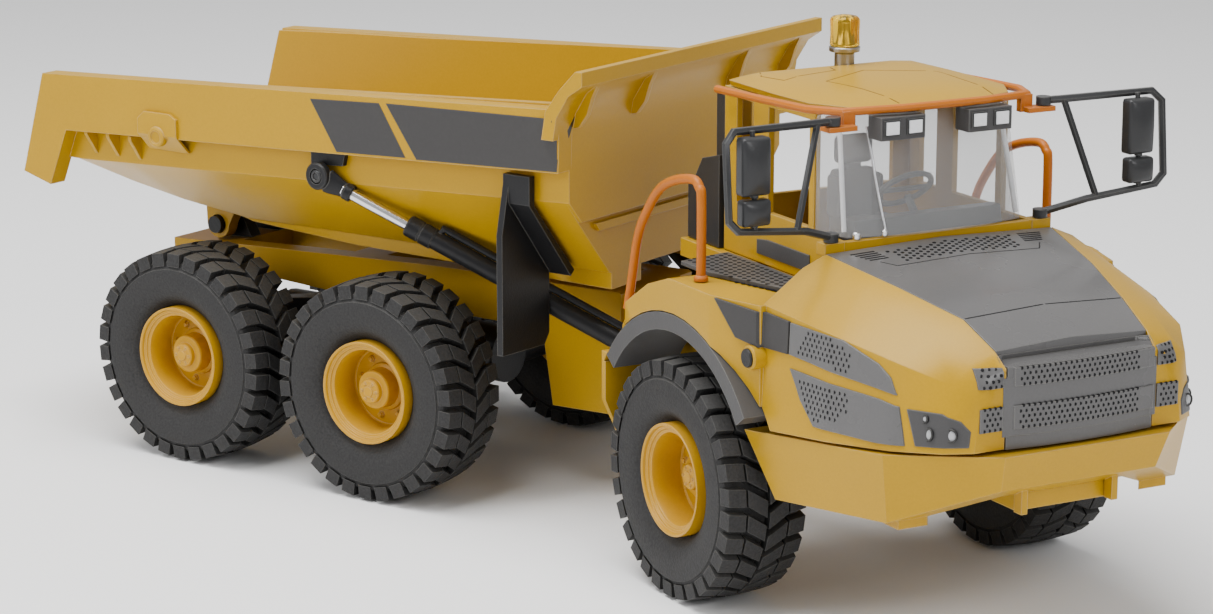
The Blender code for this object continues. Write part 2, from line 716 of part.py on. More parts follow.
def flare(side):
    """The grey lining of the wheel arch."""
    outer = arc(ARCH, ARCH_RADIUS - GAP - 0.1, 35, 145, 18)
    inner = arc(ARCH, ARCH_RADIUS - 5.6, 145, 35, 18)
    name = f"arch_flare_{side_name(side)}"
    return prism(name, tractor, grey, outer + inner, "y", side * (WHEELHOUSE_INNER + 4), side * FENDER_OUTER)


def walkway(side):
    half = [
        (50.0, 37.0), (58.0, 36.6), (98.0, 36.6), (104.0, 41.0), (100.0, 46.0), (70.0, 55.0), (54.0, 55.0),
    ]
    outline = [(x, side * y) for x, y in half]
    return prism(f"walkway_{side_name(side)}", tractor, grey, outline, "z", DECK_TOP + GAP, DECK_TOP + 1.5)


front_frame()
axle("front_axle", tractor, FRONT_X, CHASSIS_UNDER - GAP)
tractor_body()
hood()
grille()
bumper()
for tractor_side in (-1, 1):
    wheel("front", tractor, FRONT_X, tractor_side, 6.5)
    flare(tractor_side)
    walkway(tractor_side)


# ---- cab ---------------------------------------------------------------------------------------------
CAB_FLOOR = DECK_TOP + GAP
SCREEN_REAR = 91.5


def cab_shell():
    """Base, pillars and rear wall, with the side, rear and door windows cut."""
    outline = [
        (CAB_REAR_X, CAB_FLOOR), (CAB_REAR_X, ROOF_UNDER - GAP), (SCREEN_REAR - GAP, ROOF_UNDER - GAP),
        (SCREEN_REAR - GAP, SILL_TOP), (CAB_FRONT_X, SILL_TOP), (CAB_FRONT_X, CAB_FLOOR),
    ]
    made = prism("cab_shell", tractor, yellow, outline, "y", -CAB_HALF, CAB_HALF)
    inner = CAB_HALF - CAB_WALL
    room_low = (CAB_REAR_X + CAB_WALL, -inner, CAB_FLOOR + 2)
    room_high = (CAB_FRONT_X - CAB_WALL, inner, 144.0)
    cut(
        made,
        box("room", tractor, yellow, room_low, room_high),
        box("front opening", tractor, yellow, (80, -inner, SILL_TOP - 0.1), (120, inner, 144.0)),
        box("door window", tractor, yellow, (66, -50, SILL_TOP + 1), (SCREEN_REAR - 3, 50, 142.5)),
        box("quarter window", tractor, yellow, (48, -50, SILL_TOP + 1), (57.5, 50, 142.5)),
        box("rear window", tractor, yellow, (30, -25, SILL_TOP + 1), (50, 25, 142.5)),
        box("roof well", tractor, yellow, (50, -26, 140), (88, 26, 150)),
    )
    x, y = MIRROR_PIVOT
    for side in (-1, 1):
        low, high = sorted((side * (CAB_HALF - 1), side * (y + 2.8)))
        ear = box("mirror ear", tractor, yellow, (x - 3, low, SILL_TOP - 3.5), (x + 1.5, high, SILL_TOP))
        join(made, ear)
    return made


def windscreen():
    """One clear wrap-round pane, bowed in plan and leaning back."""
    def ring(z, back):
        outer = [(91.5, 32.6), (103.5 - back, 29.6), (107.0 - back, 15.0), (108.0 - back, 0.0)]
        inner = [(91.5, 31.3), (102.5 - back, 28.5), (105.7 - back, 14.5), (106.7 - back, 0.0)]
        line = [(x, -y, z) for x, y in outer] + [(x, y, z) for x, y in reversed(outer[:-1])]
        back_line = [(x, y, z) for x, y in inner] + [(x, -y, z) for x, y in reversed(inner[:-1])]
        return line + back_line
    return loft("windscreen", tractor, clear, [ring(SILL_TOP + GAP, 0.0), ring(144.5, 8.5)])


def roof():
    half = [(40.5, -28.0), (43.5, -33.2), (70.0, -34.0), (88.0, -33.4), (99.5, -27.0), (104.0, -10.0)]
    rings = []
    layers = (
        (ROOF_UNDER, 0.5, 0.0), (ROOF_UNDER + 1.7, 0.0, 0.2), (ROOF_TOP - 1.0, 5.0, 0.6),
        (ROOF_TOP, 14.0, 0.0),
    )
    for z, inset, crown in layers:
        shrink = [(x + inset * 0.7 if x < 60 else x - inset, y + inset) for x, y in half]
        rings.append([(x, y, z) for x, y in both(shrink)])
    return loft("cab_roof", tractor, yellow, rings)


def seat():
    made = box("seat", tractor, grey, (60, -8, CAB_FLOOR + 2 + GAP), (80, 8, 110))
    back = [(58.0, 104.0), (65.0, 108.0), (62.5, 131.0), (57.0, 131.0)]
    return join(made, prism("seat back", tractor, grey, back, "y", -8, 8))


def dashboard():
    """Dash with the steering column."""
    low = CAB_FLOOR + 2 + GAP
    outline = [(93.0, low), (93.0, 109.0), (96.0, 114.5), (100.0, 114.5), (103.0, low)]
    made = prism("dashboard", tractor, grey, outline, "y", -25, 25)
    return join(made, tube("column", tractor, grey, [(96, 0, 110), (89.2, 0, 117.4)], 1.2))


def steering_wheel():
    steps = 20
    tilt = Matrix.Rotation(math.radians(-42), 4, "Y")
    centre = Vector((87.6, 0, 119.2))
    points = []
    for i in range(steps + 1):
        turn = 2 * math.pi * i / steps
        points.append(centre + (tilt @ Vector((8.2 * math.cos(turn), 8.2 * math.sin(turn), 0))))
    made = tube("steering_wheel", tractor, dark, points[:-1] + [points[0] + Vector((0, 0.01, 0))], 0.9, 1)
    spoke = tube("spoke", tractor, dark, [points[5], points[15]], 0.8, 1)
    return join(made, spoke)


def roof_rail():
    half = [
        (42.0, -36.4, 144.4), (70.0, -36.6, 145.4), (92.0, -36.2, 146.2), (103.0, -31.2, 146.7),
        (106.4, -14.0, 146.9),
    ]
    points = half + [(x, -y, z) for x, y, z in reversed(half)]
    made = tube("roof_rail", tractor, orange, points, ROOF_RAIL_RADIUS)
    x, y = MIRROR_PIVOT
    for side in (-1, 1):
        low, high = sorted((side * 28.0, side * 32.0))
        join(made, box("web", tractor, orange, (x - 2.5, low, EAR_Z), (x - 0.3, high, 146.9)))
        low, high = sorted((side * 29.0, side * (y + 2.6)))
        join(made, box("flange", tractor, orange, (x - 2.5, low, EAR_Z), (x + 2.5, high, EAR_Z + 1.4)))
    return made


def arch_rail(side):
    outline = [
        (74.4, DECK_TOP + GAP), (74.4, 119.5), (73.2, 122.8), (69.8, 124.4), (60.0, 122.6), (51.1, 118.8),
        (44.5, 112.6), (37.4, 102.5), (33.4, 88.4), (30.6, 78.4),
    ]
    points = [(x, side * 60.0, z) for x, z in outline]
    return tube(f"arch_rail_{side_name(side)}", tractor, orange, points, ARCH_RAIL_RADIUS)


def beacon():
    profile = [
        (0, 6.6), (4.2, 6.3), (4.6, 5.6), (4.4, -3.0), (4.9, -3.4), (4.9, -4.4), (2.9, -5.0), (2.9, -7.8),
        (0, -7.8),
    ]
    made = turned("beacon", tractor, amber, profile, False, 1, 20)
    made.location = Vector((46.6, 4.7, ROOF_TOP + GAP + 7.8)) * MM
    made.rotation_euler = (0, 0, 0)
    return made


def work_light(side):
    low, high = sorted((side * 7.4, side * 22.0))
    return box(f"work_light_{side_name(side)}", tractor, dark, (101.8, low, 138.4), (108.6, high, 145.0))


def exhaust():
    pipe = [(33.6, -31.5), (38.4, -31.5), (38.4, -28.5), (33.6, -28.5)]
    made = prism("exhaust_stack", tractor, grey, pipe, "z", 110, 143)
    shield = [
        (21.0, DECK_TOP + GAP), (21.0, 112.0), (24.0, 113.5), (29.5, 121.5), (39.5, 124.0),
        (39.5, DECK_TOP + GAP),
    ]
    return join(made, prism("shield", tractor, dark, shield, "y", -34.0, -25.0))


cab_shell()
windscreen()
roof()
seat()
dashboard()
steering_wheel()
roof_rail()
beacon()
exhaust()
for cab_side in (-1, 1):
    arch_rail(cab_side)
    work_light(cab_side)


# ---- mirrors -----------------------------------------------------------------------------------------
def mirror(side):
    """A looped arm that swings on two pins, and its two heads on one rod."""
    x, y = MIRROR_PIVOT
    name = side_name(side)
    pivot = empty(f"mirror_{name}_axis", tractor, (x, side * y, 0))
    out = side * (MIRROR_OUT - y)
    low_eye = SILL_TOP + GAP + 1.2
    top_eye = EAR_Z + 1.4 + GAP + 1.2
    loop = [
        (0, 0, top_eye), (1.5, side * 6, MIRROR_TOP - 0.6), (5.0, out - side * 3, MIRROR_TOP),
        (6.0, out, MIRROR_TOP - 3), (8.0, out, MIRROR_LOW + 3), (8.0, out - side * 3, MIRROR_LOW),
        (6.0, side * 12, MIRROR_LOW - 2.5), (0, 0, low_eye),
    ]
    middle = out - side * 8.5
    brace = [(1.5, side * 6, MIRROR_TOP - 0.6), (6.3, side * 15, MIRROR_LOW - 1.8)]
    head_rod = [(5.6, middle, MIRROR_TOP), (7.6, middle, MIRROR_LOW)]
    arm = tube(f"mirror_arm_{name}", pivot, dark, loop, 1.2, 1)
    join(
        arm,
        tube("brace", pivot, dark, brace, 1.1, 1),
        cylinder("top eye", pivot, dark, (0, 0, top_eye), 2.2, 2.4, "z", 16),
        cylinder("low eye", pivot, dark, (0, 0, low_eye), 2.2, 2.4, "z", 16),
        tube("head rod", pivot, dark, head_rod, 0.8, 1),
    )
    low, high = sorted((middle - 4.0, middle + 4.0))
    join(
        arm,
        box("tall head", pivot, dark, (4.4, low, 128.0), (7.8, high, 143.8)),
        box("small head", pivot, dark, (5.4, low, 119.8), (8.6, high, 126.4)),
    )
    return arm


for mirror_side in (-1, 1):
    mirror(mirror_side)


# ---- stand the truck on its origin ---------------------------------------------------------------------
def centre_on_origin():
    """Moves the whole truck so that the middle of its footprint is the origin and its wheels touch z = 0."""
    bpy.context.view_layer.update()
    graph = bpy.context.evaluated_depsgraph_get()
    corners = []
    for thing in parts.objects:
        if thing.type == "MESH":
            ready = thing.evaluated_get(graph)
            mesh = ready.to_mesh()
            corners.extend(ready.matrix_world @ vertex.co for vertex in mesh.vertices)
            ready.to_mesh_clear()
    low = [min(corner[i] for corner in corners) for i in range(3)]
    high = [max(corner[i] for corner in corners) for i in range(3)]
    root.location = (-(low[0] + high[0]) / 2, -(low[1] + high[1]) / 2, -low[2])


centre_on_origin()
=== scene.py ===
# %% [markdown]
# # An articulated dump truck in moulded plastic
# The truck is a small model, about 430 mm long: a yellow tipping body on a rear frame with four
# wheels, and a tractor in front that turns on a pin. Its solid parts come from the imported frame.
# This lesson gives each of them a finish and adds what is too fine for the solids: the tread, the
# wheel bolts, the grilles, the stickers, the lamps and the wiper.

import bpy
import bmesh
import json
import math
from mathutils import Matrix, Vector
from mathutils.bvhtree import BVHTree

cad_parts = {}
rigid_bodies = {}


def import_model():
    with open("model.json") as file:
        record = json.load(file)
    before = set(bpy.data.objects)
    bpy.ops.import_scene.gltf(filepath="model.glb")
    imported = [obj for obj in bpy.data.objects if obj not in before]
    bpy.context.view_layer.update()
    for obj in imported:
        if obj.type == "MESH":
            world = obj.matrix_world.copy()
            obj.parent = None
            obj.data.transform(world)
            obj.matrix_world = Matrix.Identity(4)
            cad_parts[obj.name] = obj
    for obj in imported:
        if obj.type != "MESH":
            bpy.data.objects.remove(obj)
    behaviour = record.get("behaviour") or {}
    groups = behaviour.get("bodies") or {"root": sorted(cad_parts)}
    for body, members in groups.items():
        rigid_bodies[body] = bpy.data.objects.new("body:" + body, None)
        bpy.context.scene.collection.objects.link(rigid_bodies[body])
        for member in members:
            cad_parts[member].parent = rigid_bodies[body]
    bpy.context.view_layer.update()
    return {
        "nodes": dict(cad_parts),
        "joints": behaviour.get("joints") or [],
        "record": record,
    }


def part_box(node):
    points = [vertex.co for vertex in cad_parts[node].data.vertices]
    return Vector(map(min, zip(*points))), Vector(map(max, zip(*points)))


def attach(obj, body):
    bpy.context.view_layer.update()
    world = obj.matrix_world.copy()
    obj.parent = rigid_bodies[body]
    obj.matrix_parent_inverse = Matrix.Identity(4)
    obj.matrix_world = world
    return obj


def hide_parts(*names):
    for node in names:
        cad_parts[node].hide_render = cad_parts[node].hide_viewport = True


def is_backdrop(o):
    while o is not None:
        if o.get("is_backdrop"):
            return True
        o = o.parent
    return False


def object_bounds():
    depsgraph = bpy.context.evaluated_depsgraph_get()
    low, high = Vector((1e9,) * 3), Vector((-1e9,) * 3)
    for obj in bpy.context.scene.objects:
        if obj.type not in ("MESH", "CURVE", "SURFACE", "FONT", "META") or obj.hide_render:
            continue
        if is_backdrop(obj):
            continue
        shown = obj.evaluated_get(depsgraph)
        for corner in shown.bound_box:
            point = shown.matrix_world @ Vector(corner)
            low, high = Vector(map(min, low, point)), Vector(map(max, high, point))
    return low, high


for thing in list(bpy.data.objects):
    bpy.data.objects.remove(thing)
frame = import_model()
NODES = frame["nodes"]
BODY_OF = {}
for body, members in frame["record"]["behaviour"]["bodies"].items():
    for member in members:
        BODY_OF[member] = body

# %% [markdown]
# Two halves meet at an upright pin. The load half runs straight along X, and the tractor half is
# turned about the pin. Every piece below is measured in millimetres from the foot of that pin, in
# the half that it belongs to, so a left piece and a right piece differ only in a sign.

# %% The two halves
MM = 0.001
joints = {joint["name"]: joint for joint in frame["joints"]}
pin = joints["steering"]["pos_m"]
front_axis = joints["front_wheel_left_spin"]["axis"]
turned_by = math.atan2(-front_axis[0], front_axis[1])
LOAD = Matrix.Translation((pin[0], pin[1], 0)) @ Matrix.Scale(MM, 4)
TRACTOR = LOAD @ Matrix.Rotation(turned_by, 4, "Z")
SIDES = (("right", -1), ("left", 1))
print("the tractor is turned by", round(math.degrees(turned_by), 1), "degrees")

# %% [markdown]
# ## Finishes
# Moulded plastic is never quite even. Three effects return in nearly every finish here, so each is
# a node group that is built once: a fine grain left by the mould, edges that are slightly round
# and catch the light with a lighter line painted along them, partly rubbed wear and partly a
# painted sheen, and the soft unevenness of colour where the plastic was handled.

# %% A helper for node groups
def new_group(name, inputs, outputs):
    """An empty node group with number inputs, each with its value, and outputs of a kind."""
    group = bpy.data.node_groups.new(name, "ShaderNodeTree")
    for label, kind, value in inputs:
        socket = group.interface.new_socket(label, in_out="INPUT", socket_type=kind)
        socket.default_value = value
    for label, kind in outputs:
        group.interface.new_socket(label, in_out="OUTPUT", socket_type=kind)
    return group, group.nodes.new("NodeGroupInput"), group.nodes.new("NodeGroupOutput")


def maths(tree, operation, first, second=0.5):
    """A Math node; first is a socket, and second a socket or a number."""
    node = tree.nodes.new("ShaderNodeMath")
    node.operation = operation
    tree.links.new(first, node.inputs[0])
    if isinstance(second, (int, float)):
        node.inputs[1].default_value = second
    else:
        tree.links.new(second, node.inputs[1])
    return node.outputs[0]


def spread(tree, value, low, high):
    """A value from 0 to 1 spread over low to high."""
    node = tree.nodes.new("ShaderNodeMapRange")
    node.inputs["To Min"].default_value = low
    node.inputs["To Max"].default_value = high
    tree.links.new(value, node.inputs["Value"])
    return node.outputs["Result"]


NUMBER = "NodeSocketFloat"
COLOUR = "NodeSocketColor"
VECTOR = "NodeSocketVector"
print("helpers: new_group, maths, spread")

# %% [markdown]
# **Mould grain.** A steel mould is spark-eroded or blasted, and the plastic copies that surface.
# A fine noise, measured on the object itself, gives a height for the bump and a slight change of
# tone.

# %% Mould grain
def make_mould_grain():
    inputs = [("Grains per metre", NUMBER, 1500.0), ("Depth", NUMBER, 1.0), ("Speckle", NUMBER, 0.2)]
    group, inside, outside = new_group("mould_grain", inputs, [("Height", NUMBER), ("Tone", NUMBER)])
    place = group.nodes.new("ShaderNodeTexCoord")
    fine = group.nodes.new("ShaderNodeTexNoise")
    fine.inputs["Detail"].default_value = 3.0
    fine.inputs["Roughness"].default_value = 0.6
    group.links.new(place.outputs["Object"], fine.inputs["Vector"])
    group.links.new(inside.outputs["Grains per metre"], fine.inputs["Scale"])
    height = maths(group, "MULTIPLY", fine.outputs["Fac"], inside.outputs["Depth"])
    group.links.new(height, outside.inputs["Height"])
    centred = maths(group, "SUBTRACT", fine.outputs["Fac"], 0.5)
    swing = maths(group, "MULTIPLY", centred, inside.outputs["Speckle"])
    group.links.new(maths(group, "ADD", swing, 1.0), outside.inputs["Tone"])
    return group


MOULD_GRAIN = make_mould_grain()
print("group:", MOULD_GRAIN.name)

# %% [markdown]
# ** Soft edges.** The Bevel node looks round the corner and gives the normal that a small radius
# would have. Where that normal differs from the true one there is an edge, which makes a mask for
# the lighter line along corners, partly rubbed wear and partly a painted sheen.

# %% Soft edges
BEVEL_RAYS = 6
SAME_WAY = 0.995
AT_A_CORNER = 0.8


def make_soft_edges():
    group, inside, outside = new_group(
        "soft_edges", [("Radius", NUMBER, 0.0005)], [("Normal", VECTOR), ("Edge", NUMBER)]
    )
    bevel = group.nodes.new("ShaderNodeBevel")
    bevel.samples = BEVEL_RAYS
    group.links.new(inside.outputs["Radius"], bevel.inputs["Radius"])
    true = group.nodes.new("ShaderNodeNewGeometry")
    dot = group.nodes.new("ShaderNodeVectorMath")
    dot.operation = "DOT_PRODUCT"
    group.links.new(bevel.outputs["Normal"], dot.inputs[0])
    group.links.new(true.outputs["Normal"], dot.inputs[1])
    edge = group.nodes.new("ShaderNodeMapRange")
    edge.inputs["From Min"].default_value = SAME_WAY
    edge.inputs["From Max"].default_value = AT_A_CORNER
    group.links.new(dot.outputs["Value"], edge.inputs["Value"])
    group.links.new(bevel.outputs["Normal"], outside.inputs["Normal"])
    group.links.new(edge.outputs["Result"], outside.inputs["Edge"])
    return group


SOFT_EDGES = make_soft_edges()
print("group:", SOFT_EDGES.name)

# %% [markdown]
# ** Handling and sheen.** Broad, faint clouds of tone, a lighter line along corners that is partly
# rubbed wear and partly a painted sheen, and a little dust that settles where a face looks up.

# %% Handling and painted edge sheen
CLOUDS_PER_METRE = 28.0
# The lighter colour along corners: rubbed wear and a painted sheen.
RUBBED_AND_SHEEN_COLOUR = (0.9, 0.87, 0.78, 1)
DUST_COLOUR = (0.62, 0.6, 0.55, 1)
DUST_STARTS = 0.4
WEAR_SWING = 0.06


def make_handling():
    inputs = [
        ("Colour", COLOUR, (0.5, 0.5, 0.5, 1)),
        ("Unevenness", NUMBER, 0.08),
        ("Dust", NUMBER, 0.05),
        ("Edge", NUMBER, 0.0),
        ("Tone", NUMBER, 1.0),
    ]
    group, inside, outside = new_group("handling", inputs, [("Colour", COLOUR), ("Wear", NUMBER)])
    place = group.nodes.new("ShaderNodeTexCoord")
    clouds = group.nodes.new("ShaderNodeTexNoise")
    clouds.inputs["Scale"].default_value = CLOUDS_PER_METRE
    clouds.inputs["Detail"].default_value = 5.0
    group.links.new(place.outputs["Object"], clouds.inputs["Vector"])
    centred = maths(group, "SUBTRACT", clouds.outputs["Fac"], 0.5)
    swing = maths(group, "MULTIPLY", centred, inside.outputs["Unevenness"])
    tone = maths(group, "ADD", swing, inside.outputs["Tone"])
    shade = group.nodes.new("ShaderNodeHueSaturation")
    group.links.new(inside.outputs["Colour"], shade.inputs["Color"])
    group.links.new(tone, shade.inputs["Value"])
    # Lighter colour mixed in along the edge mask: partly rubbed wear, partly a painted sheen.
    rubbed_and_sheen = group.nodes.new("ShaderNodeMix")
    rubbed_and_sheen.data_type = "RGBA"
    rubbed_and_sheen.inputs["B"].default_value = RUBBED_AND_SHEEN_COLOUR
    group.links.new(inside.outputs["Edge"], rubbed_and_sheen.inputs["Factor"])
    group.links.new(shade.outputs["Color"], rubbed_and_sheen.inputs["A"])
    facing = group.nodes.new("ShaderNodeNewGeometry")
    parts = group.nodes.new("ShaderNodeSeparateXYZ")
    group.links.new(facing.outputs["Normal"], parts.inputs["Vector"])
    upward = group.nodes.new("ShaderNodeMapRange")
    upward.inputs["From Min"].default_value = DUST_STARTS
    group.links.new(parts.outputs["Z"], upward.inputs["Value"])
    patchy = maths(group, "MULTIPLY", upward.outputs["Result"], clouds.outputs["Fac"])
    amount = maths(group, "MULTIPLY", patchy, inside.outputs["Dust"])
    dusty = group.nodes.new("ShaderNodeMix")
    dusty.data_type = "RGBA"
    dusty.inputs["B"].default_value = DUST_COLOUR
    group.links.new(amount, dusty.inputs["Factor"])
    group.links.new(rubbed_and_sheen.outputs["Result"], dusty.inputs["A"])
    group.links.new(dusty.outputs["Result"], outside.inputs["Colour"])
    wear = spread(group, clouds.outputs["Fac"], -WEAR_SWING, WEAR_SWING)
    group.links.new(wear, outside.inputs["Wear"])
    return group


HANDLING_AND_SHEEN = make_handling()
print("group:", HANDLING_AND_SHEEN.name)

# %% [markdown]
# **One recipe for every plastic.** The recipe puts the three groups in front of a Principled
# shader. What differs from one plastic to the next is its colour, its gloss and how coarse and how
# deep its grain is. A number that is the same all over, such as the coat, is set on the shader.

# %% The recipe for plastics
BUMP_HEIGHT = 0.0002
SHINE = 0.22
COAT_ROUGHNESS = 0.12


def plastic(name, colour, roughness, grains=1500.0, depth=0.35, edges=0.18, dust=0.05, coat=0.0,
            uneven=0.1, radius=0.0005, speckle=0.2):
    """A finish from the three groups; edges (rubbed wear and a painted sheen), dust and uneven say how
    much of each shows.
    """
    finish = bpy.data.materials.new(name)
    finish.use_nodes = True
    finish.diffuse_color = (*colour, 1)
    tree = finish.node_tree
    shader = tree.nodes["Principled BSDF"]
    grain = tree.nodes.new("ShaderNodeGroup")
    grain.node_tree = MOULD_GRAIN
    grain.inputs["Grains per metre"].default_value = grains
    grain.inputs["Speckle"].default_value = speckle
    corner = tree.nodes.new("ShaderNodeGroup")
    corner.node_tree = SOFT_EDGES
    corner.inputs["Radius"].default_value = radius
    look = tree.nodes.new("ShaderNodeGroup")
    look.node_tree = HANDLING_AND_SHEEN
    look.inputs["Colour"].default_value = (*colour, 1)
    look.inputs["Unevenness"].default_value = uneven
    look.inputs["Dust"].default_value = dust
    # The edge mask, scaled by edges, paints a lighter line: partly rubbed wear, partly a painted sheen.
    tree.links.new(maths(tree, "MULTIPLY", corner.outputs["Edge"], edges), look.inputs["Edge"])
    tree.links.new(grain.outputs["Tone"], look.inputs["Tone"])
    tree.links.new(look.outputs["Colour"], shader.inputs["Base Color"])
    tree.links.new(maths(tree, "ADD", look.outputs["Wear"], roughness), shader.inputs["Roughness"])
    bump = tree.nodes.new("ShaderNodeBump")
    bump.inputs["Strength"].default_value = depth
    bump.inputs["Distance"].default_value = BUMP_HEIGHT
    tree.links.new(grain.outputs["Height"], bump.inputs["Height"])
    tree.links.new(corner.outputs["Normal"], bump.inputs["Normal"])
    tree.links.new(bump.outputs["Normal"], shader.inputs["Normal"])
    shader.inputs["Specular IOR Level"].default_value = SHINE
    shader.inputs["Coat Weight"].default_value = coat
    shader.inputs["Coat Roughness"].default_value = COAT_ROUGHNESS
    return finish


print("recipe: plastic")

# %% [markdown]
# **The colours.** The body is a deep warm yellow, the rims a touch redder, and the hood a glossy
# grey. The darkest plastics still reflect a hundredth of the light, as real black mouldings do.

# %% The plastics of the truck
YELLOW = plastic("body_yellow", (0.42, 0.235, 0.0006), 0.34, depth=0.12)
RIM_YELLOW = plastic("rim_yellow", (0.46, 0.235, 0.0006), 0.36, depth=0.15)
GREY = plastic("hood_grey", (0.095, 0.0925, 0.0925), 0.28, depth=0.1, edges=0.12, coat=0.2)
TRIM_GREY = plastic("trim_grey", (0.06, 0.0585, 0.059), 0.42, depth=0.3, edges=0.12)
BLACK = plastic("chassis_black", (0.011, 0.011, 0.012), 0.36, depth=0.4, edges=0.1)
CHARCOAL = plastic("mirror_charcoal", (0.026, 0.0265, 0.028), 0.3, depth=0.2, edges=0.1, coat=0.1)
ORANGE = plastic("handrail_orange", (0.42, 0.115, 0.004), 0.38, depth=0.15, edges=0.1)
STICKER = plastic("sticker_dark", (0.042, 0.04, 0.0395), 0.45, grains=900, depth=0.15, edges=0.05)
# A dark yellow whose colour is painted shade inside the roof grooves.
GROOVE_SHADE = plastic("groove_shadow", (0.16, 0.075, 0.002), 0.5, depth=0.2, edges=0.0, dust=0.0)
# Flat black for dark discs and strips that are painted shade inside holes and slots, and for dark seam
# lines.
HOLE_SHADE_AND_SEAM_BLACK = plastic("hole_shade_and_seam_black", (0.006, 0.006, 0.007), 0.7, depth=0.2, edges=0.0, dust=0.0)
SEAT_GREY = plastic("seat_grey", (0.22, 0.22, 0.23), 0.5, grains=1200, depth=0.6)
LAMP_WHITE = plastic("lamp_white", (0.8, 0.81, 0.83), 0.2, grains=900, depth=0.3, coat=0.5, dust=0.0)
print("plastics:", [m.name for m in bpy.data.materials if m.node_tree and "_" in m.name])

# %% [markdown]
# **Rubber.** The tyres are duller than the hard plastics, and their grain is coarser and deeper.
# The grooves stay darker than the tops of the blocks, which comes from the light and not from paint.

# %% Rubber
RUBBER = plastic("tyre_rubber", (0.024, 0.0235, 0.0235), 0.62, grains=1300, depth=1.0, edges=0.06,
                 dust=0.1, uneven=0.35, radius=0.0004, speckle=1.6)
print("rubber:", RUBBER.name)

# %% [markdown]
# **Bright metal.** The hoist rods and the wiper are plated. Plating copies the moulding under it,
# so it takes the same recipe with its metal turned up and only a trace of fine grain.

# %% Bright metal
def plated(name, colour, roughness):
    finish = plastic(name, colour, roughness, grains=2600, depth=0.08, edges=0.05, dust=0.0)
    finish.node_tree.nodes["Principled BSDF"].inputs["Metallic"].default_value = 1.0
    return finish


CHROME = plated("rod_chrome", (0.72, 0.72, 0.74), 0.16)
STEEL = plated("steel_grey", (0.36, 0.35, 0.34), 0.3)
print("metals:", CHROME.name, STEEL.name)

# %% [markdown]
# **Clear mouldings.** The windscreen is a thin smoky sheet, so its alpha makes it partly see-through
# and a coat makes it gloss. The amber beacon and the lamp glasses are thick, so light passes through
# them by transmission.

# %% Clear mouldings
def clear(name, colour, roughness, through, ior=1.45):
    finish = plastic(name, colour, roughness, grains=500, depth=0.003, edges=0.0, dust=0.02)
    shader = finish.node_tree.nodes["Principled BSDF"]
    shader.inputs["Transmission Weight"].default_value = through
    shader.inputs["IOR"].default_value = ior
    return finish


SCREEN = clear("screen_clear", (0.42, 0.425, 0.43), 0.06, 0.0)
screen_shader = SCREEN.node_tree.nodes["Principled BSDF"]
screen_shader.inputs["Alpha"].default_value = 0.26
screen_shader.inputs["Coat Weight"].default_value = 1.0
AMBER = clear("beacon_amber", (0.95, 0.6, 0.04), 0.05, 0.92, 1.25)
LENS = clear("lamp_lens", (0.85, 0.86, 0.88), 0.08, 0.6)
print("clear:", SCREEN.name, AMBER.name, LENS.name)

# %% [markdown]
# ## Finishes on the solids
# Every solid of the frame takes a finish by its own name or by the start of its name.

# %% Finish for each solid
FINISH_OF = {
    "dump_body": YELLOW, "rear_frame": YELLOW, "bogie": BLACK, "mid_axle": BLACK,
    "rear_axle": BLACK, "dump_hinge_mount": BLACK, "hoist_lug": BLACK, "hoist_barrel": BLACK,
    "hoist_rod": CHROME, "mudguard": BLACK, "hitch_link": BLACK, "front_frame": YELLOW,
    "front_axle": BLACK, "tractor_body": YELLOW, "hood": GREY, "grille": GREY,
    "front_bumper": YELLOW, "arch_flare": TRIM_GREY, "arch_rail": ORANGE, "roof_rail": ORANGE,
    "walkway": TRIM_GREY, "cab_shell": YELLOW, "cab_roof": YELLOW, "windscreen": SCREEN,
    "seat": SEAT_GREY, "dashboard": GREY, "steering_wheel": GREY, "beacon": AMBER,
    "work_light": TRIM_GREY, "exhaust_stack": CHARCOAL, "mirror_arm": CHARCOAL,
    "front_rim": RIM_YELLOW, "mid_rim": RIM_YELLOW, "rear_rim": RIM_YELLOW,
    "front_tyre": RUBBER, "mid_tyre": RUBBER, "rear_tyre": RUBBER,
}


def finish_for(node):
    """The finish of the longest name in the list that the solid's name starts with."""
    starts = [start for start in FINISH_OF if node.startswith(start)]
    return FINISH_OF[max(starts, key=len)]


for node, solid in NODES.items():
    solid.data.materials.clear()
    solid.data.materials.append(finish_for(node))
print("finished solids:", len(NODES))

# %% [markdown]
# The solids come as flat facets. A small tree of geometry nodes welds the corners, shades gentle
# bends as one smooth skin and keeps every edge sharper than 32 degrees.

# %% Smooth bends
SHARP = math.radians(32)
WELD = 0.000002


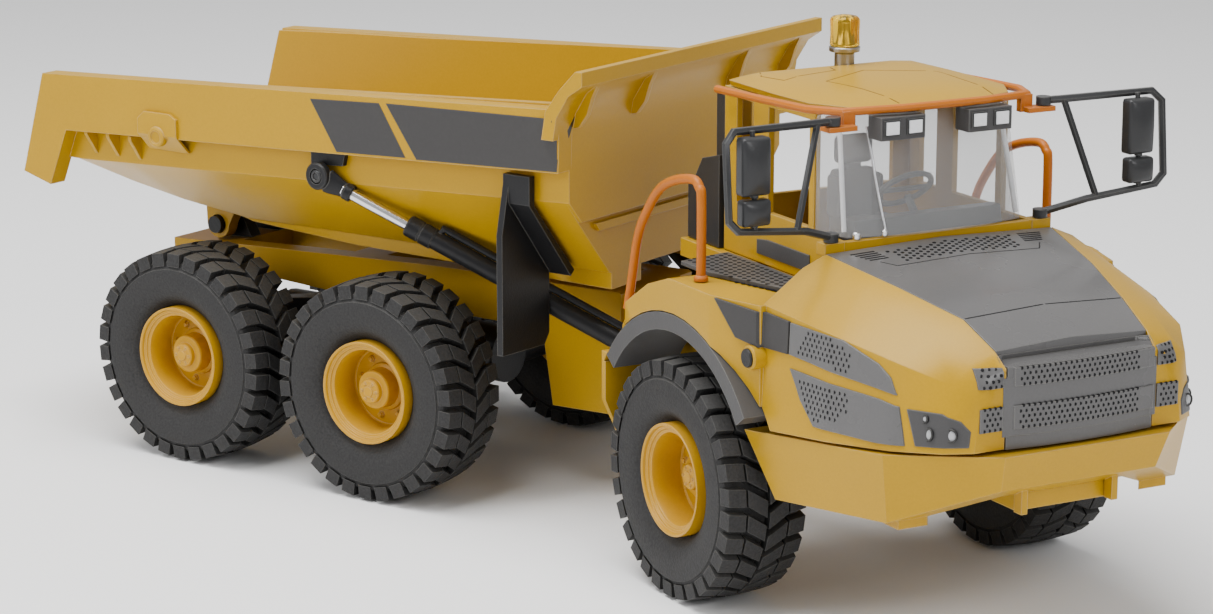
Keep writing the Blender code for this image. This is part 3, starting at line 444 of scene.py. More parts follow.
def make_smooth_bends():
    group = bpy.data.node_groups.new("smooth_bends", "GeometryNodeTree")
    group.interface.new_socket("Geometry", in_out="INPUT", socket_type="NodeSocketGeometry")
    group.interface.new_socket("Geometry", in_out="OUTPUT", socket_type="NodeSocketGeometry")
    start = group.nodes.new("NodeGroupInput")
    end = group.nodes.new("NodeGroupOutput")
    plain = group.nodes.new("GeometryNodeRemoveAttribute")
    plain.inputs["Name"].default_value = "custom_normal"
    weld = group.nodes.new("GeometryNodeMergeByDistance")
    weld.inputs["Distance"].default_value = WELD
    faces = group.nodes.new("GeometryNodeSetShadeSmooth")
    edges = group.nodes.new("GeometryNodeSetShadeSmooth")
    edges.domain = "EDGE"
    angle = group.nodes.new("GeometryNodeInputMeshEdgeAngle")
    gentle = group.nodes.new("FunctionNodeCompare")
    gentle.operation = "LESS_THAN"
    gentle.inputs["B"].default_value = SHARP
    group.links.new(angle.outputs["Unsigned Angle"], gentle.inputs["A"])
    group.links.new(gentle.outputs["Result"], edges.inputs["Shade Smooth"])
    group.links.new(start.outputs[0], plain.inputs["Geometry"])
    group.links.new(plain.outputs["Geometry"], weld.inputs["Geometry"])
    group.links.new(weld.outputs["Geometry"], faces.inputs["Geometry"])
    group.links.new(faces.outputs["Geometry"], edges.inputs["Geometry"])
    group.links.new(edges.outputs["Geometry"], end.inputs[0])
    return group


SMOOTH_BENDS = make_smooth_bends()
for solid in NODES.values():
    bends = solid.modifiers.new("smooth_bends", "NODES")
    bends.node_group = SMOOTH_BENDS
print("smoothed solids:", len(NODES))

# %% [markdown]
# ## Making pieces
# Each added piece is drawn in millimetres in its own half of the truck, carried into place, and
# tied to the body that it moves with.

# %% A piece from a mesh
def piece(name, shape, finish, half, body):
    """A finished object from a bmesh in millimetres of one half of the truck."""
    mesh = bpy.data.meshes.new(name)
    shape.transform(half)
    bmesh.ops.recalc_face_normals(shape, faces=shape.faces[:])
    shape.to_mesh(mesh)
    shape.free()
    mesh.shade_smooth()
    mesh.set_sharp_from_angle(angle=SHARP)
    mesh.materials.append(finish)
    made = bpy.data.objects.new(name, mesh)
    bpy.context.scene.collection.objects.link(made)
    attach(made, body)
    return made


print("helper: piece")

# %% [markdown]
# **Plates and turned forms.** Most of these small parts are either cut from plate or turned, so a
# slab is an outline with a thickness, and a lathe sweeps a profile round an axis.

# %% Plates and turned forms
def slab(shape, outline, axis, low, high):
    """Adds a plate to shape: an outline in the plane across axis, from low to high along it."""
    order = {"x": (2, 0, 1), "y": (0, 2, 1), "z": (0, 1, 2)}[axis]
    rings = []
    for level in (low, high):
        ring = []
        for u, v in outline:
            spot = (u, v, level)
            ring.append(shape.verts.new([spot[i] for i in order]))
        rings.append(ring)
    shape.faces.new(rings[0])
    shape.faces.new(rings[1][::-1])
    count = len(outline)
    for i in range(count):
        j = (i + 1) % count
        shape.faces.new((rings[0][i], rings[1][i], rings[1][j], rings[0][j]))


def lathe(shape, profile, steps, centre=(0, 0, 0), axis="y"):
    """Adds a turned form: (radius, along) points round an axis. Ends on the axis close it."""
    rings = []
    for radius, along in profile:
        ring = []
        for step in range(1 if radius == 0 else steps):
            turn = 2 * math.pi * step / steps
            across = (radius * math.cos(turn), radius * math.sin(turn))
            if axis == "y":
                spot = Vector((across[0], along, across[1]))
            elif axis == "x":
                spot = Vector((along, across[0], across[1]))
            else:
                spot = Vector((across[0], across[1], along))
            ring.append(shape.verts.new(spot + Vector(centre)))
        rings.append(ring)
    for near, far in zip(rings, rings[1:]):
        for i in range(steps):
            j = (i + 1) % steps
            corners = [near[i % len(near)], near[j % len(near)], far[j % len(far)], far[i % len(far)]]
            unique = list(dict.fromkeys(corners))
            if len(unique) > 2:
                shape.faces.new(unique)


print("shapes: slab, lathe")

# %% [markdown]
# **Bars and curves.** A bar is a row of rings along its path. A bent bar runs through a smooth curve
# that passes every given point, because real bending leaves no corners.

# %% Bars and curves
WORLD_SLANT = Vector((0.31, 0.17, 0.93))


def rod(shape, points, radius, sides=10):
    """Adds a round bar through points, closed at its ends."""
    points = [Vector(p) for p in points]
    rings = []
    for i, point in enumerate(points):
        before = points[max(i - 1, 0)]
        after = points[min(i + 1, len(points) - 1)]
        way = (after - before).normalized()
        across = way.cross(WORLD_SLANT).normalized()
        up = way.cross(across)
        ring = []
        for step in range(sides):
            turn = 2 * math.pi * step / sides
            offset = across * math.cos(turn) * radius + up * math.sin(turn) * radius
            ring.append(shape.verts.new(point + offset))
        rings.append(ring)
    for near, far in zip(rings, rings[1:]):
        for i in range(sides):
            j = (i + 1) % sides
            shape.faces.new((near[i], near[j], far[j], far[i]))
    shape.faces.new(rings[0])
    shape.faces.new(rings[-1][::-1])


def add_to(shape, part):
    """Moves the geometry of part into shape."""
    carry = bpy.data.meshes.new("carry")
    part.to_mesh(carry)
    part.free()
    shape.from_mesh(carry)
    bpy.data.meshes.remove(carry)


def smooth_path(points, steps=6):
    """Points of a smooth curve that runs through the given ones."""
    points = [Vector(p) for p in points]
    path = []
    for i in range(len(points) - 1):
        before, here, there, after = (
            points[max(i - 1, 0)], points[i], points[i + 1], points[min(i + 2, len(points) - 1)]
        )
        for step in range(steps):
            t = step / steps
            path.append(0.5 * (
                2 * here + (there - before) * t + (2 * before - 5 * here + 4 * there - after) * t ** 2
                + (3 * here - before - 3 * there + after) * t ** 3
            ))
    return path + [points[-1]]


print("shapes: rod, add_to, smooth_path")

# %% [markdown]
# ## Tyres
# The tyre is turned, and its tread is laid round it. Each side has a ring of square shoulder
# blocks, and between them slanted bars meet in a chevron. A groove parts the blocks from the bars,
# and the two sides are set half a step apart, as on an earthmover tyre.

# %% Tyre sizes
WHEEL_R = 36.0
RIM_R = 16.75
HALF_WIDTH = 13.15
TREAD_FLOOR = 32.7
LUGS = 30
AROUND = 96
SIDEWALL = [
    (RIM_R + 0.3, HALF_WIDTH - 4.4), (RIM_R + 1.2, HALF_WIDTH - 3.6), (RIM_R + 2.6, HALF_WIDTH - 2.1),
    (RIM_R + 4.4, HALF_WIDTH - 0.95), (RIM_R + 6.6, HALF_WIDTH - 0.25), (RIM_R + 9.3, HALF_WIDTH),
    (RIM_R + 12.3, HALF_WIDTH - 0.1), (RIM_R + 12.9, HALF_WIDTH - 0.1),
    (RIM_R + 13.2, HALF_WIDTH - 0.55), (TREAD_FLOOR - 0.9, HALF_WIDTH - 1.1),
    (TREAD_FLOOR - 0.2, HALF_WIDTH - 1.9),
]
TREAD = [(TREAD_FLOOR, HALF_WIDTH - 2.9), (TREAD_FLOOR + 0.25, 5.0), (TREAD_FLOOR + 0.3, 0.0)]
print("tyre width in mm:", HALF_WIDTH * 2)

# %% [markdown]
# **A block of tread.** A block is a tapered box in three slices from the middle of the tyre outwards.
# Its foot is wider than its top, and a lean turns each slice a little, which makes the slant.

# %% A block of tread
SHOULDER_BLOCK = (7.3, 12.75, 0.68, 0.08, 0.0)
SLANTED_BAR = (0.45, 6.6, 0.66, 0.62, 0.1)
FOOT_FLARE = 1.12
FOOT_SINK = 0.3
CROWN_DROP = 0.9
SHOULDER_DROP = 1.6
SHOULDER_REACH = 0.25


def tread_block(shape, side, at, kind):
    """Adds one block; kind is its inner and outer place, then width and leans in steps."""
    step = 2 * math.pi / LUGS
    inner, outer, wide, lean_in, lean_out = kind[0], kind[1], *(share * step for share in kind[2:])
    slices = ((inner, lean_in), ((inner + outer) / 2, (lean_in + lean_out) / 2), (outer, lean_out))
    rings = []
    for along, lean in slices:
        at_shoulder = kind is SHOULDER_BLOCK and along == outer
        top = WHEEL_R - CROWN_DROP * (along / HALF_WIDTH) ** 2
        foot = TREAD_FLOOR - FOOT_SINK - (SHOULDER_DROP if at_shoulder else 0.0)
        reach = along + (SHOULDER_REACH if at_shoulder else 0.0)
        low_pair, high_pair = [], []
        levels = ((foot, wide * FOOT_FLARE, reach, low_pair), (top, wide, along, high_pair))
        for end in (-0.5, 0.5):
            for radius, width, place, pair in levels:
                turn = at + lean + end * width
                spot = (radius * math.cos(turn), side * place, radius * math.sin(turn))
                pair.append(shape.verts.new(spot))
        rings.append((low_pair[0], low_pair[1], high_pair[1], high_pair[0]))
    for near, far in zip(rings, rings[1:]):
        for i in range(4):
            j = (i + 1) % 4
            shape.faces.new((near[i], near[j], far[j], far[i]))
    shape.faces.new(rings[0])
    shape.faces.new(rings[-1][::-1])


print("tread block is", SHOULDER_BLOCK[1] - SHOULDER_BLOCK[0], "mm long")

# %% [markdown]
# **The whole tyre.** The carcass is turned from one profile that closes on itself. The blocks then go
# round it on both sides, with the second side half a step on.

# %% The whole tyre
def tyre_shape():
    half = SIDEWALL + TREAD
    other = [(radius, -along) for radius, along in half[-2::-1]]
    closed = half + other + [half[0]]
    shape = bmesh.new()
    lathe(shape, closed, AROUND)
    bmesh.ops.remove_doubles(shape, verts=shape.verts[:], dist=0.001)
    for side in (-1, 1):
        for lug in range(LUGS):
            at = 2 * math.pi * (lug + (0.5 if side > 0 else 0)) / LUGS
            tread_block(shape, side, at, SHOULDER_BLOCK)
            tread_block(shape, side, at, SLANTED_BAR)
    return shape


print("tread blocks on a tyre:", LUGS * 4)

# %% [markdown]
# ## Rims
# A rim is one turned moulding: a stepped flange, a deep barrel, a dish with its bolts, and the hub
# with its cap and a ring of small screws. The front hubs are shorter than the rear ones.

# %% A rim
BOLTS = 8
BOLT_CIRCLE = 9.9
FIRST_BOLT = 0.2
SCREWS = 6
SCREW_CIRCLE = 2.8
BOLT = [(0, 0), (1.15, 0), (1.15, 0.7), (0.8, 0.9), (0.75, 1.5), (0, 1.6)]
SCREW = [(0, 0), (0.5, 0), (0.45, 0.5), (0, 0.55)]


def rim_shape(hub_face):
    flange = HALF_WIDTH - 0.5
    profile = [
        (0, hub_face), (1.6, hub_face), (1.9, hub_face - 0.5), (3.5, hub_face - 0.5),
        (3.9, hub_face - 0.9), (4.1, hub_face - 2.4), (5.9, hub_face - 2.7), (6.3, hub_face - 3.2),
        (6.5, 2.6), (7.6, 2.2), (7.9, 1.2), (RIM_R - 4.3, 1.0), (RIM_R - 3.9, 1.4),
        (RIM_R - 3.5, 6.0), (RIM_R - 3.2, flange - 2.6), (RIM_R - 2.9, flange - 2.0),
        (RIM_R - 2.2, flange - 1.9), (RIM_R - 1.9, flange - 1.2), (RIM_R - 1.2, flange - 1.1),
        (RIM_R - 0.9, flange - 0.2), (RIM_R - 0.6, flange), (RIM_R - 0.1, flange),
        (RIM_R, flange - 0.4), (RIM_R, -flange + 2.0), (RIM_R - 1.6, -flange + 2.0),
        (RIM_R - 2.0, -1.2), (6.0, -1.4), (5.4, -6.0), (3.3, -6.0), (3.3, 0.8), (0, 0.8),
    ]
    shape = bmesh.new()
    lathe(shape, profile, AROUND)
    for bolt in range(BOLTS):
        turn = 2 * math.pi * bolt / BOLTS + FIRST_BOLT
        spot = (BOLT_CIRCLE * math.cos(turn), 0.9, BOLT_CIRCLE * math.sin(turn))
        lathe(shape, BOLT, 6, spot)
    for screw in range(SCREWS):
        turn = 2 * math.pi * screw / SCREWS
        spot = (SCREW_CIRCLE * math.cos(turn), hub_face - 0.6, SCREW_CIRCLE * math.sin(turn))
        lathe(shape, SCREW, 6, spot)
    return shape


print("bolts and screws on a rim:", BOLTS, SCREWS)

# %% [markdown]
# **Wheels in place.** Every wheel turns about its own joint. The joint gives the middle of the wheel
# and the way of its axle, so tyre and rim are set there and face outwards on both sides.

# %% Wheels in place
HUBS = {"front": 6.5, "mid": 10.4, "rear": 10.4}
for axle, hub_face in HUBS.items():
    for hand, side in SIDES:
        body = f"{axle}_wheel_{hand}"
        joint = joints[f"{body}_spin"]
        yaw = math.atan2(-joint["axis"][0], joint["axis"][1]) + (math.pi if side < 0 else 0)
        wheel = Matrix.Translation(joint["pos_m"]) @ Matrix.Rotation(yaw, 4, "Z") @ Matrix.Scale(MM, 4)
        tyre = piece(f"{axle}_tyre_tread_{hand}", tyre_shape(), RUBBER, wheel, body)
        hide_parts(f"{axle}_tyre_{hand}")
        rim = piece(f"{axle}_rim_turned_{hand}", rim_shape(hub_face), RIM_YELLOW, wheel, body)
        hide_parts(f"{axle}_rim_{hand}")
print("wheels:", len(HUBS) * 2)

# %% [markdown]
# ## Panels that follow the body
# The grey side panels, the stickers and the perforated grilles lie on bent skins. Each is drawn as
# a flat outline, cut into small squares, and then dropped on to the skin along one direction, the
# way a decal is laid. A second layer above it makes the thickness.

# %% Dropping an outline on a skin
FAR = 400.0
STOP_SHORT = 60.0


def skin_of(half, *nodes):
    """The outer skin of these solids as a tree that rays can be dropped on, in millimetres."""
    shape = bmesh.new()
    for node in nodes:
        shape.from_mesh(NODES[node].data)
    shape.transform(half.inverted())
    tree = BVHTree.FromBMesh(shape)
    shape.free()
    return tree


def drop(skin, look, u, v, side=-1):
    """Where the point (u, v) lands on the skin, the skin's normal there, and the way it fell."""
    if look == "side":
        start, way = Vector((u, side * FAR, v)), Vector((0, -side, 0))
    elif look == "top":
        start, way = Vector((u, side * v, FAR)), Vector((0, 0, -1))
    else:
        start, way = Vector((FAR, side * u, v)), Vector((-1, 0, 0))
    spot, normal, _, _ = skin.ray_cast(start, way)
    if spot is None:
        spot, normal, _, _ = skin.find_nearest(start + way * (FAR - STOP_SHORT))
    if normal.dot(way) > 0:
        normal = -normal
    return spot, normal, way


print("helpers: skin_of, drop")

# %% [markdown]
# **A plate on the skin.** The outline is cut into squares first, because only a corner can bend. The
# lower layer sinks into the skin a little, so that no gap shows at the rim of the plate.

# %% A plate on the skin
SLIVER = 0.2


def panel(shape, skin, look, outline, side=-1, thick=0.4, step=3.0, sink=0.15):
    """Adds a plate of even thickness that follows the skin inside an outline."""
    sheet = bmesh.new()
    sheet.faces.new([sheet.verts.new((u, v, 0)) for u, v in outline])
    for axis in (0, 1):
        values = [point[axis] for point in outline]
        at = min(values) + step
        while at < max(values) - SLIVER:
            spot = (at, 0, 0) if axis == 0 else (0, at, 0)
            normal = (1, 0, 0) if axis == 0 else (0, 1, 0)
            everything = sheet.verts[:] + sheet.edges[:] + sheet.faces[:]
            bmesh.ops.bisect_plane(sheet, geom=everything, plane_co=spot, plane_no=normal)
            at += step
    bmesh.ops.triangulate(sheet, faces=[f for f in sheet.faces if len(f.verts) > 4])
    low, high = {}, {}
    for vert in sheet.verts:
        spot, normal, way = drop(skin, look, vert.co.x, vert.co.y, side)
        low[vert] = shape.verts.new(spot + way * sink)
        high[vert] = shape.verts.new(spot - way * thick)
    for face in sheet.faces:
        shape.faces.new([low[vert] for vert in face.verts])
        shape.faces.new([high[vert] for vert in reversed(face.verts)])
    for edge in sheet.edges:
        if len(edge.link_faces) == 1:
            a, b = edge.verts
            shape.faces.new((low[a], low[b], high[b], high[a]))
    sheet.free()


print("helper: panel")

# %% [markdown]
# ** Pierced rows.** A grille has hundreds of small holes in staggered rows. Cutting them would cost
# far more than it shows, so each hole is a thin dark disc that lies on the skin, its dark colour
# painted shade for the inside of the hole.

# %% Pierced rows
DISC_DEPTH = 0.12
DISC_TAPER = 0.9


def inside(outline, u, v):
    """True if (u, v) is inside the outline."""
    odd = False
    for (u1, v1), (u2, v2) in zip(outline, outline[1:] + outline[:1]):
        if (v1 > v) != (v2 > v) and u < (u2 - u1) * (v - v1) / (v2 - v1) + u1:
            odd = not odd
    return odd


def perforate(shape, skin, look, outline, side=-1, pitch=1.75, radius=0.52, lift=0.42, sides=8):
    """Adds small dark discs of painted shade in staggered rows on the skin, where a grille is pierced.
    """
    low_u = min(u for u, _ in outline)
    high_u = max(u for u, _ in outline)
    low_v = min(v for _, v in outline)
    high_v = max(v for _, v in outline)
    rise = pitch * math.sqrt(3) / 2
    row, v = 0, low_v + radius
    while v < high_v:
        u = low_u + radius + (pitch / 2 if row % 2 else 0)
        while u < high_u:
            if inside(outline, u, v):
                spot, normal, way = drop(skin, look, u, v, side)
                turn = normal.to_track_quat("Z", "Y").to_matrix().to_4x4()
                put = Matrix.Translation(spot - way * lift) @ turn
                disc = bmesh.ops.create_cone(
                    shape, cap_ends=True, segments=sides, radius1=radius, radius2=radius * DISC_TAPER,
                    depth=DISC_DEPTH,
                )
                bmesh.ops.transform(shape, matrix=put, verts=disc["verts"])
            u += pitch
        v += rise
        row += 1


print("helper: perforate")

# %% [markdown]
# ## The nose
# Two grey panels run along each side of the hood with a pierced grille in each, and a dark sticker
# lies behind them. They are laid on the body and the hood together, whichever is on top.

# %% Side panels of the hood
nose_skin = skin_of(TRACTOR, "tractor_body", "hood", "grille")
REAR_PANEL = [(92.2, 95.2), (99.9, 85.2), (108, 83.7), (118.0, 83.7), (118.0, 92.8)]
UPPER_GRILLE = [
    (118.4, 83.7), (158.0, 80.2), (155.4, 84.4), (151.0, 87.4), (138.4, 91.6), (118.4, 92.6),
]
UPPER_HOLES = [(120.6, 85.0), (141.8, 82.9), (141.4, 88.2), (134.5, 91.7), (125.8, 91.4)]
LOWER_GRILLE = [
    (119.0, 79.8), (124.0, 72.0), (130.3, 65.9), (152.7, 66.2), (161.2, 66.9), (158.8, 77.2),
    (152.3, 78.1),
]
LOWER_HOLES = [
    (121.0, 78.4), (127.4, 68.6), (131.2, 67.4), (138.7, 69.2), (142.3, 72.5), (142.5, 77.7),
]
PANEL_THICK = 0.5
# The grille holes laid below are dark discs whose colour is painted shade.
for hand, side in SIDES:
    shape = bmesh.new()
    panel(shape, nose_skin, "side", REAR_PANEL, side, thick=0.8, step=1.0)
    piece(f"side_sticker_{hand}", shape, STICKER, TRACTOR, "tractor")
    shape = bmesh.new()
    panel(shape, nose_skin, "side", UPPER_GRILLE, side, thick=PANEL_THICK)
    panel(shape, nose_skin, "side", LOWER_GRILLE, side, thick=PANEL_THICK)
    piece(f"side_panels_{hand}", shape, GREY, TRACTOR, "tractor")
    shape = bmesh.new()
    perforate(shape, nose_skin, "side", UPPER_HOLES, side, lift=PANEL_THICK)
    perforate(shape, nose_skin, "side", LOWER_HOLES, side, lift=PANEL_THICK)
    piece(f"side_grille_holes_{hand}", shape, HOLE_SHADE_AND_SEAM_BLACK, TRACTOR, "tractor")
print("side grilles:", 2 * len(SIDES))

# %% [markdown]
# **Headlamps.** Three round lamps sit in a grey panel at each corner: a small one above and two
# larger ones below, each with a dark ring round a clear lens.

# %% Headlamps
LAMP_PANEL = [(160.8, 76.9), (163.9, 67.3), (174.2, 68.0), (174.2, 72.3), (172.6, 75.0), (169.2, 76.8)]
LAMPS = [(165.3, 74.9, 1.3), (166.6, 70.9, 1.9), (171.4, 71.2, 1.9)]
LIP = 0.5
for hand, side in SIDES:
    shape = bmesh.new()
    panel(shape, nose_skin, "side", LAMP_PANEL, side, thick=PANEL_THICK, step=2.0)
    piece(f"headlamp_panel_{hand}", shape, TRIM_GREY, TRACTOR, "tractor")
    rings, lenses = bmesh.new(), bmesh.new()
    for u, v, radius in LAMPS:
        spot, normal, _ = drop(nose_skin, "side", u, v, side)
        put = Matrix.Translation(spot) @ normal.to_track_quat("Y", "Z").to_matrix().to_4x4()
        open_to = radius - LIP
        rim = [(radius, 0.0), (radius, 0.6), (radius - 0.3, 0.75), (open_to, 0.4), (open_to, 0.0)]
        bowl = bmesh.new()
        lathe(bowl, rim, 24)
        bowl.transform(put)
        glass = bmesh.new()
        lathe(glass, [(0, 0.1), (open_to, 0.1), (open_to, 0.35), (radius * 0.4, 0.6), (0, 0.66)], 24)
        glass.transform(put)
        add_to(rings, bowl)
        add_to(lenses, glass)
    piece(f"headlamp_rings_{hand}", rings, BLACK, TRACTOR, "tractor")
    piece(f"headlamp_lenses_{hand}", lenses, LENS, TRACTOR, "tractor")
print("headlamps:", len(LAMPS) * 2)

# %% [markdown]
# **Pierced bands of the front.** Two bands cross the front, each in three parts: a long one between
# the corners and a short one on each yellow corner. A recess parts them, so they are laid one by one.

# %% Pierced bands of the front
BANDS = ((83.6, 88.8), (71.8, 78.3))
BAND_PARTS = ((-32.6, -25.4), (-24.0, 24.0), (25.4, 32.6))
PIERCED_PARTS = ((-32.2, -25.8), (-18.5, 20.5), (25.8, 32.2))
FACE = [(-25.2, 65.8), (25.2, 65.8), (25.2, 91.2), (-25.2, 91.2)]


def oblong(left, right, low, high):
    return [(left, low), (right, low), (right, high), (left, high)]


shape = bmesh.new()
panel(shape, nose_skin, "front", FACE, thick=0.15, step=4.0)
piece("front_face", shape, GREY, TRACTOR, "tractor")
shape = bmesh.new()
for low, high in BANDS:
    for left, right in BAND_PARTS:
        panel(shape, nose_skin, "front", oblong(left, right, low, high), thick=0.55, step=2.0)
piece("front_bands", shape, GREY, TRACTOR, "tractor")
# The holes of the bands are dark discs whose colour is painted shade.
shape = bmesh.new()
for low, high in BANDS:
    for left, right in PIERCED_PARTS:
        outline = oblong(left, right, low, high)
        perforate(shape, nose_skin, "front", outline, pitch=1.7, radius=0.5, lift=0.56)
piece("front_band_holes", shape, HOLE_SHADE_AND_SEAM_BLACK, TRACTOR, "tractor")
print("front bands:", len(BANDS))

# %% [markdown]
# **Seams.** Where two mouldings meet there is a thin dark line. It is laid as a very narrow plate
# along each stretch of the line, which is enough for joints that are straight.

# %% Seams
def seam(shape, skin, look, points, side=-1, wide=0.45, lift=0.05):
    """Adds a narrow dark strip that follows the skin through points, as a joint line."""
    for (u1, v1), (u2, v2) in zip(points, points[1:]):
        length = math.hypot(u2 - u1, v2 - v1)
        across = (-(v2 - v1) / length * wide / 2, (u2 - u1) / length * wide / 2)
        outline = [
            (u1 - across[0], v1 - across[1]), (u2 - across[0], v2 - across[1]),
            (u2 + across[0], v2 + across[1]), (u1 + across[0], v1 + across[1]),
        ]
        panel(shape, skin, look, outline, side, thick=lift, step=3.0)


print("helper: seam")

# %% [markdown]
# ** Hood details.** A dark line parts the hood flap from the top. In front of the windscreen's foot
# lie a pierced air vent and a row of slats at each side; the vent holes and the slats are dark
# discs and strips whose colour is painted shade.

# %% Seams and vents of the hood
SLATS = 5
SLAT_PITCH = 1.35
SLAT_WIDE = 0.62
hood_skin = skin_of(TRACTOR, "hood")
VENT = [(109.6, -21.5), (110.6, 21.5), (119.2, 19.0), (118.6, -19.0)]
shape = bmesh.new()
seam(shape, hood_skin, "top", [(157.2, -25.8), (157.2, 25.8)])
seam(shape, hood_skin, "top", [(121.2, -24.0), (121.2, 24.0)], wide=0.3)
seam(shape, hood_skin, "top", [(121.2, -24.0), (117.0, -27.0)], wide=0.3)
seam(shape, hood_skin, "top", [(121.2, 24.0), (117.0, 27.0)], wide=0.3)
piece("hood_seams", shape, HOLE_SHADE_AND_SEAM_BLACK, TRACTOR, "tractor")
shape = bmesh.new()
perforate(shape, hood_skin, "top", VENT, pitch=2.1, radius=0.62, lift=0.03)
piece("hood_vent_holes", shape, HOLE_SHADE_AND_SEAM_BLACK, TRACTOR, "tractor")
shape = bmesh.new()
for side in (-1, 1):
    for slat in range(SLATS):
        u = 109.4 + SLAT_PITCH * slat
        inner, outer = 24.3 - 0.3 * slat, 32.2 - 0.75 * slat
        outline = [(u, inner), (u + SLAT_WIDE, inner), (u + SLAT_WIDE, outer), (u, outer)]
        panel(shape, hood_skin, "top", outline, side, thick=0.06, step=4.0)
piece("hood_louvres", shape, HOLE_SHADE_AND_SEAM_BLACK, TRACTOR, "tractor")
print("slats of the hood:", 2 * SLATS)

# %% [markdown]
# **Small parts of the flank.** Ahead of each wheel arch a yellow boss stands out of the body, and a
# round dark plug closes it.

# %% Plugs of the flank
for hand, side in SIDES:
    spot = drop(nose_skin, "side", 105.9, 80.5, side)[0]
    outwards = Matrix.Translation(spot) @ Matrix.Rotation(0 if side > 0 else math.pi, 4, "Z")
    boss = bmesh.new()
    lathe(boss, [(0, -3.0), (3.5, -3.0), (3.5, 1.6), (3.1, 2.0), (0, 2.0)], 32)
    boss.transform(outwards)
    piece(f"flank_boss_{hand}", boss, YELLOW, TRACTOR, "tractor")
    plug = bmesh.new()
    lathe(plug, [(0, 1.0), (2.7, 1.0), (2.7, 2.6), (2.4, 2.9), (1.2, 2.9), (0, 2.75)], 32)
    plug.transform(outwards)
    piece(f"flank_plug_{hand}", plug, BLACK, TRACTOR, "tractor")
print("plugs:", len(SIDES))

# %% [markdown]
# ## The tipping body
# Two dark stickers lie on each side of the body, and a plate with a round boss sits above the hinge.
# The stickers are only a tenth of a millimetre thick, the plate over one millimetre.

# %% Stickers and plates of the body
body_skin = skin_of(LOAD, "dump_body")
SMALL_STICKER = [(-123.9, 128.8), (-95.8, 130.2), (-85.4, 114.0), (-113.3, 112.8)]
LONG_STICKER = [(-93.0, 130.4), (-25.5, 132.3), (-27.1, 116.1), (-81.1, 113.9)]
HINGE_PLATE = [
    (-198.0, 104.0), (-181.0, 104.0), (-181.0, 116.0), (-184.0, 117.6), (-195.0, 117.6),
    (-198.0, 115.0),
]
HINGE_BOSS = [(0, 0), (3.4, 0), (3.4, 2.1), (2.9, 2.5), (2.2, 2.5), (2.0, 1.9), (0, 1.9)]
for hand, side in SIDES:
    shape = bmesh.new()
    for outline in (SMALL_STICKER, LONG_STICKER):
        panel(shape, body_skin, "side", outline, side, thick=0.12, step=6.0)
    piece(f"body_stickers_{hand}", shape, STICKER, LOAD, "tipping_body")
    shape = bmesh.new()
    panel(shape, body_skin, "side", HINGE_PLATE, side, thick=1.1, step=6.0)
    spot = drop(body_skin, "side", -189.5, 109.5, side)[0]
    boss = Vector((spot.x, spot.y - side * 0.5, spot.z))
    lathe(shape, [(radius, side * along) for radius, along in HINGE_BOSS], 32, boss)
    piece(f"hinge_plate_{hand}", shape, YELLOW, LOAD, "tipping_body")
print("stickers:", 2 * len(SIDES))

# %% [markdown]
# ## The cab
# The walkways beside the cab are pierced for grip, with larger holes than the grilles have. The holes
# are dark discs whose colour is painted shade.

# %% Walkways
WALKED_ON = oblong(51.5, 102.5, 38.2, 54.0)
for hand, side in SIDES:
    deck = skin_of(TRACTOR, f"walkway_{hand}")
    shape = bmesh.new()
    perforate(shape, deck, "top", WALKED_ON, side, pitch=2.6, radius=0.78, lift=0.03)
    piece(f"walkway_holes_{hand}", shape, HOLE_SHADE_AND_SEAM_BLACK, TRACTOR, "tractor")
print("walkways:", len(SIDES))

# %% [markdown]
# **Arched handrails.** A bent bar has no corners, so the rail is one smooth curve through its bends,
# with a small collar where it meets the walkway.

# %% Arched handrails
ARCH_RAIL = [
    (74.4, 95.8), (74.4, 119.0), (73.2, 122.6), (69.8, 124.4), (60.0, 122.6), (51.1, 118.8),
    (44.5, 112.6), (37.4, 102.5), (33.4, 88.4), (30.6, 78.4),
]
ARCH_RAIL_OUT = 60.0
ARCH_RAIL_R = 1.4
COLLAR = [(0, 95.8), (2.1, 95.8), (2.1, 96.8), (1.7, 97.3), (0, 97.3)]
for hand, side in SIDES:
    shape = bmesh.new()
    bends = [(x, side * ARCH_RAIL_OUT, z) for x, z in ARCH_RAIL]
    rod(shape, smooth_path(bends), ARCH_RAIL_R, 16)
    lathe(shape, COLLAR, 20, (ARCH_RAIL[0][0], side * ARCH_RAIL_OUT, 0), "z")
    rail = piece(f"arch_rail_bent_{hand}", shape, ORANGE, TRACTOR, "tractor")
    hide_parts(f"arch_rail_{hand}")
print("arched handrails:", len(SIDES))

# %% [markdown]
# **Wiper and corner posts.** A plated wiper lies on the windscreen with two small hubs at its foot,
# and a pale post stands behind each corner of the glass and shows through it.

# %% Wiper and corner posts
shape = bmesh.new()
rod(shape, [(98.6, -20.4, 141.0), (102.4, -19.5, 126.0), (106.6, -18.6, 111.9)], 0.42)
lathe(shape, [(0, 0), (1.3, 0), (1.3, 1.6), (1.0, 2.0), (0, 2.1)], 16, (104.6, -27.0, 110.4), "z")
lathe(shape, [(0, 0), (0.9, 0), (0.9, 1.4), (0.6, 1.8), (0, 1.8)], 16, (106.4, -18.8, 110.8), "z")
piece("wiper", shape, CHROME, TRACTOR, "tractor")
shape = bmesh.new()
for side in (-1, 1):
    rod(shape, [(101.6, side * 29.3, 112.0), (94.6, side * 27.2, 144.0)], 0.75, 12)
piece("corner_posts", shape, LAMP_WHITE, TRACTOR, "tractor")
print("wiper and corner posts are in place")

# %% [markdown]
# **Work lights.** Each dark housing holds two square lamps: a charcoal frame round a white face.

# %% Work lights
LAMP_CENTRES = (10.9, 18.5)


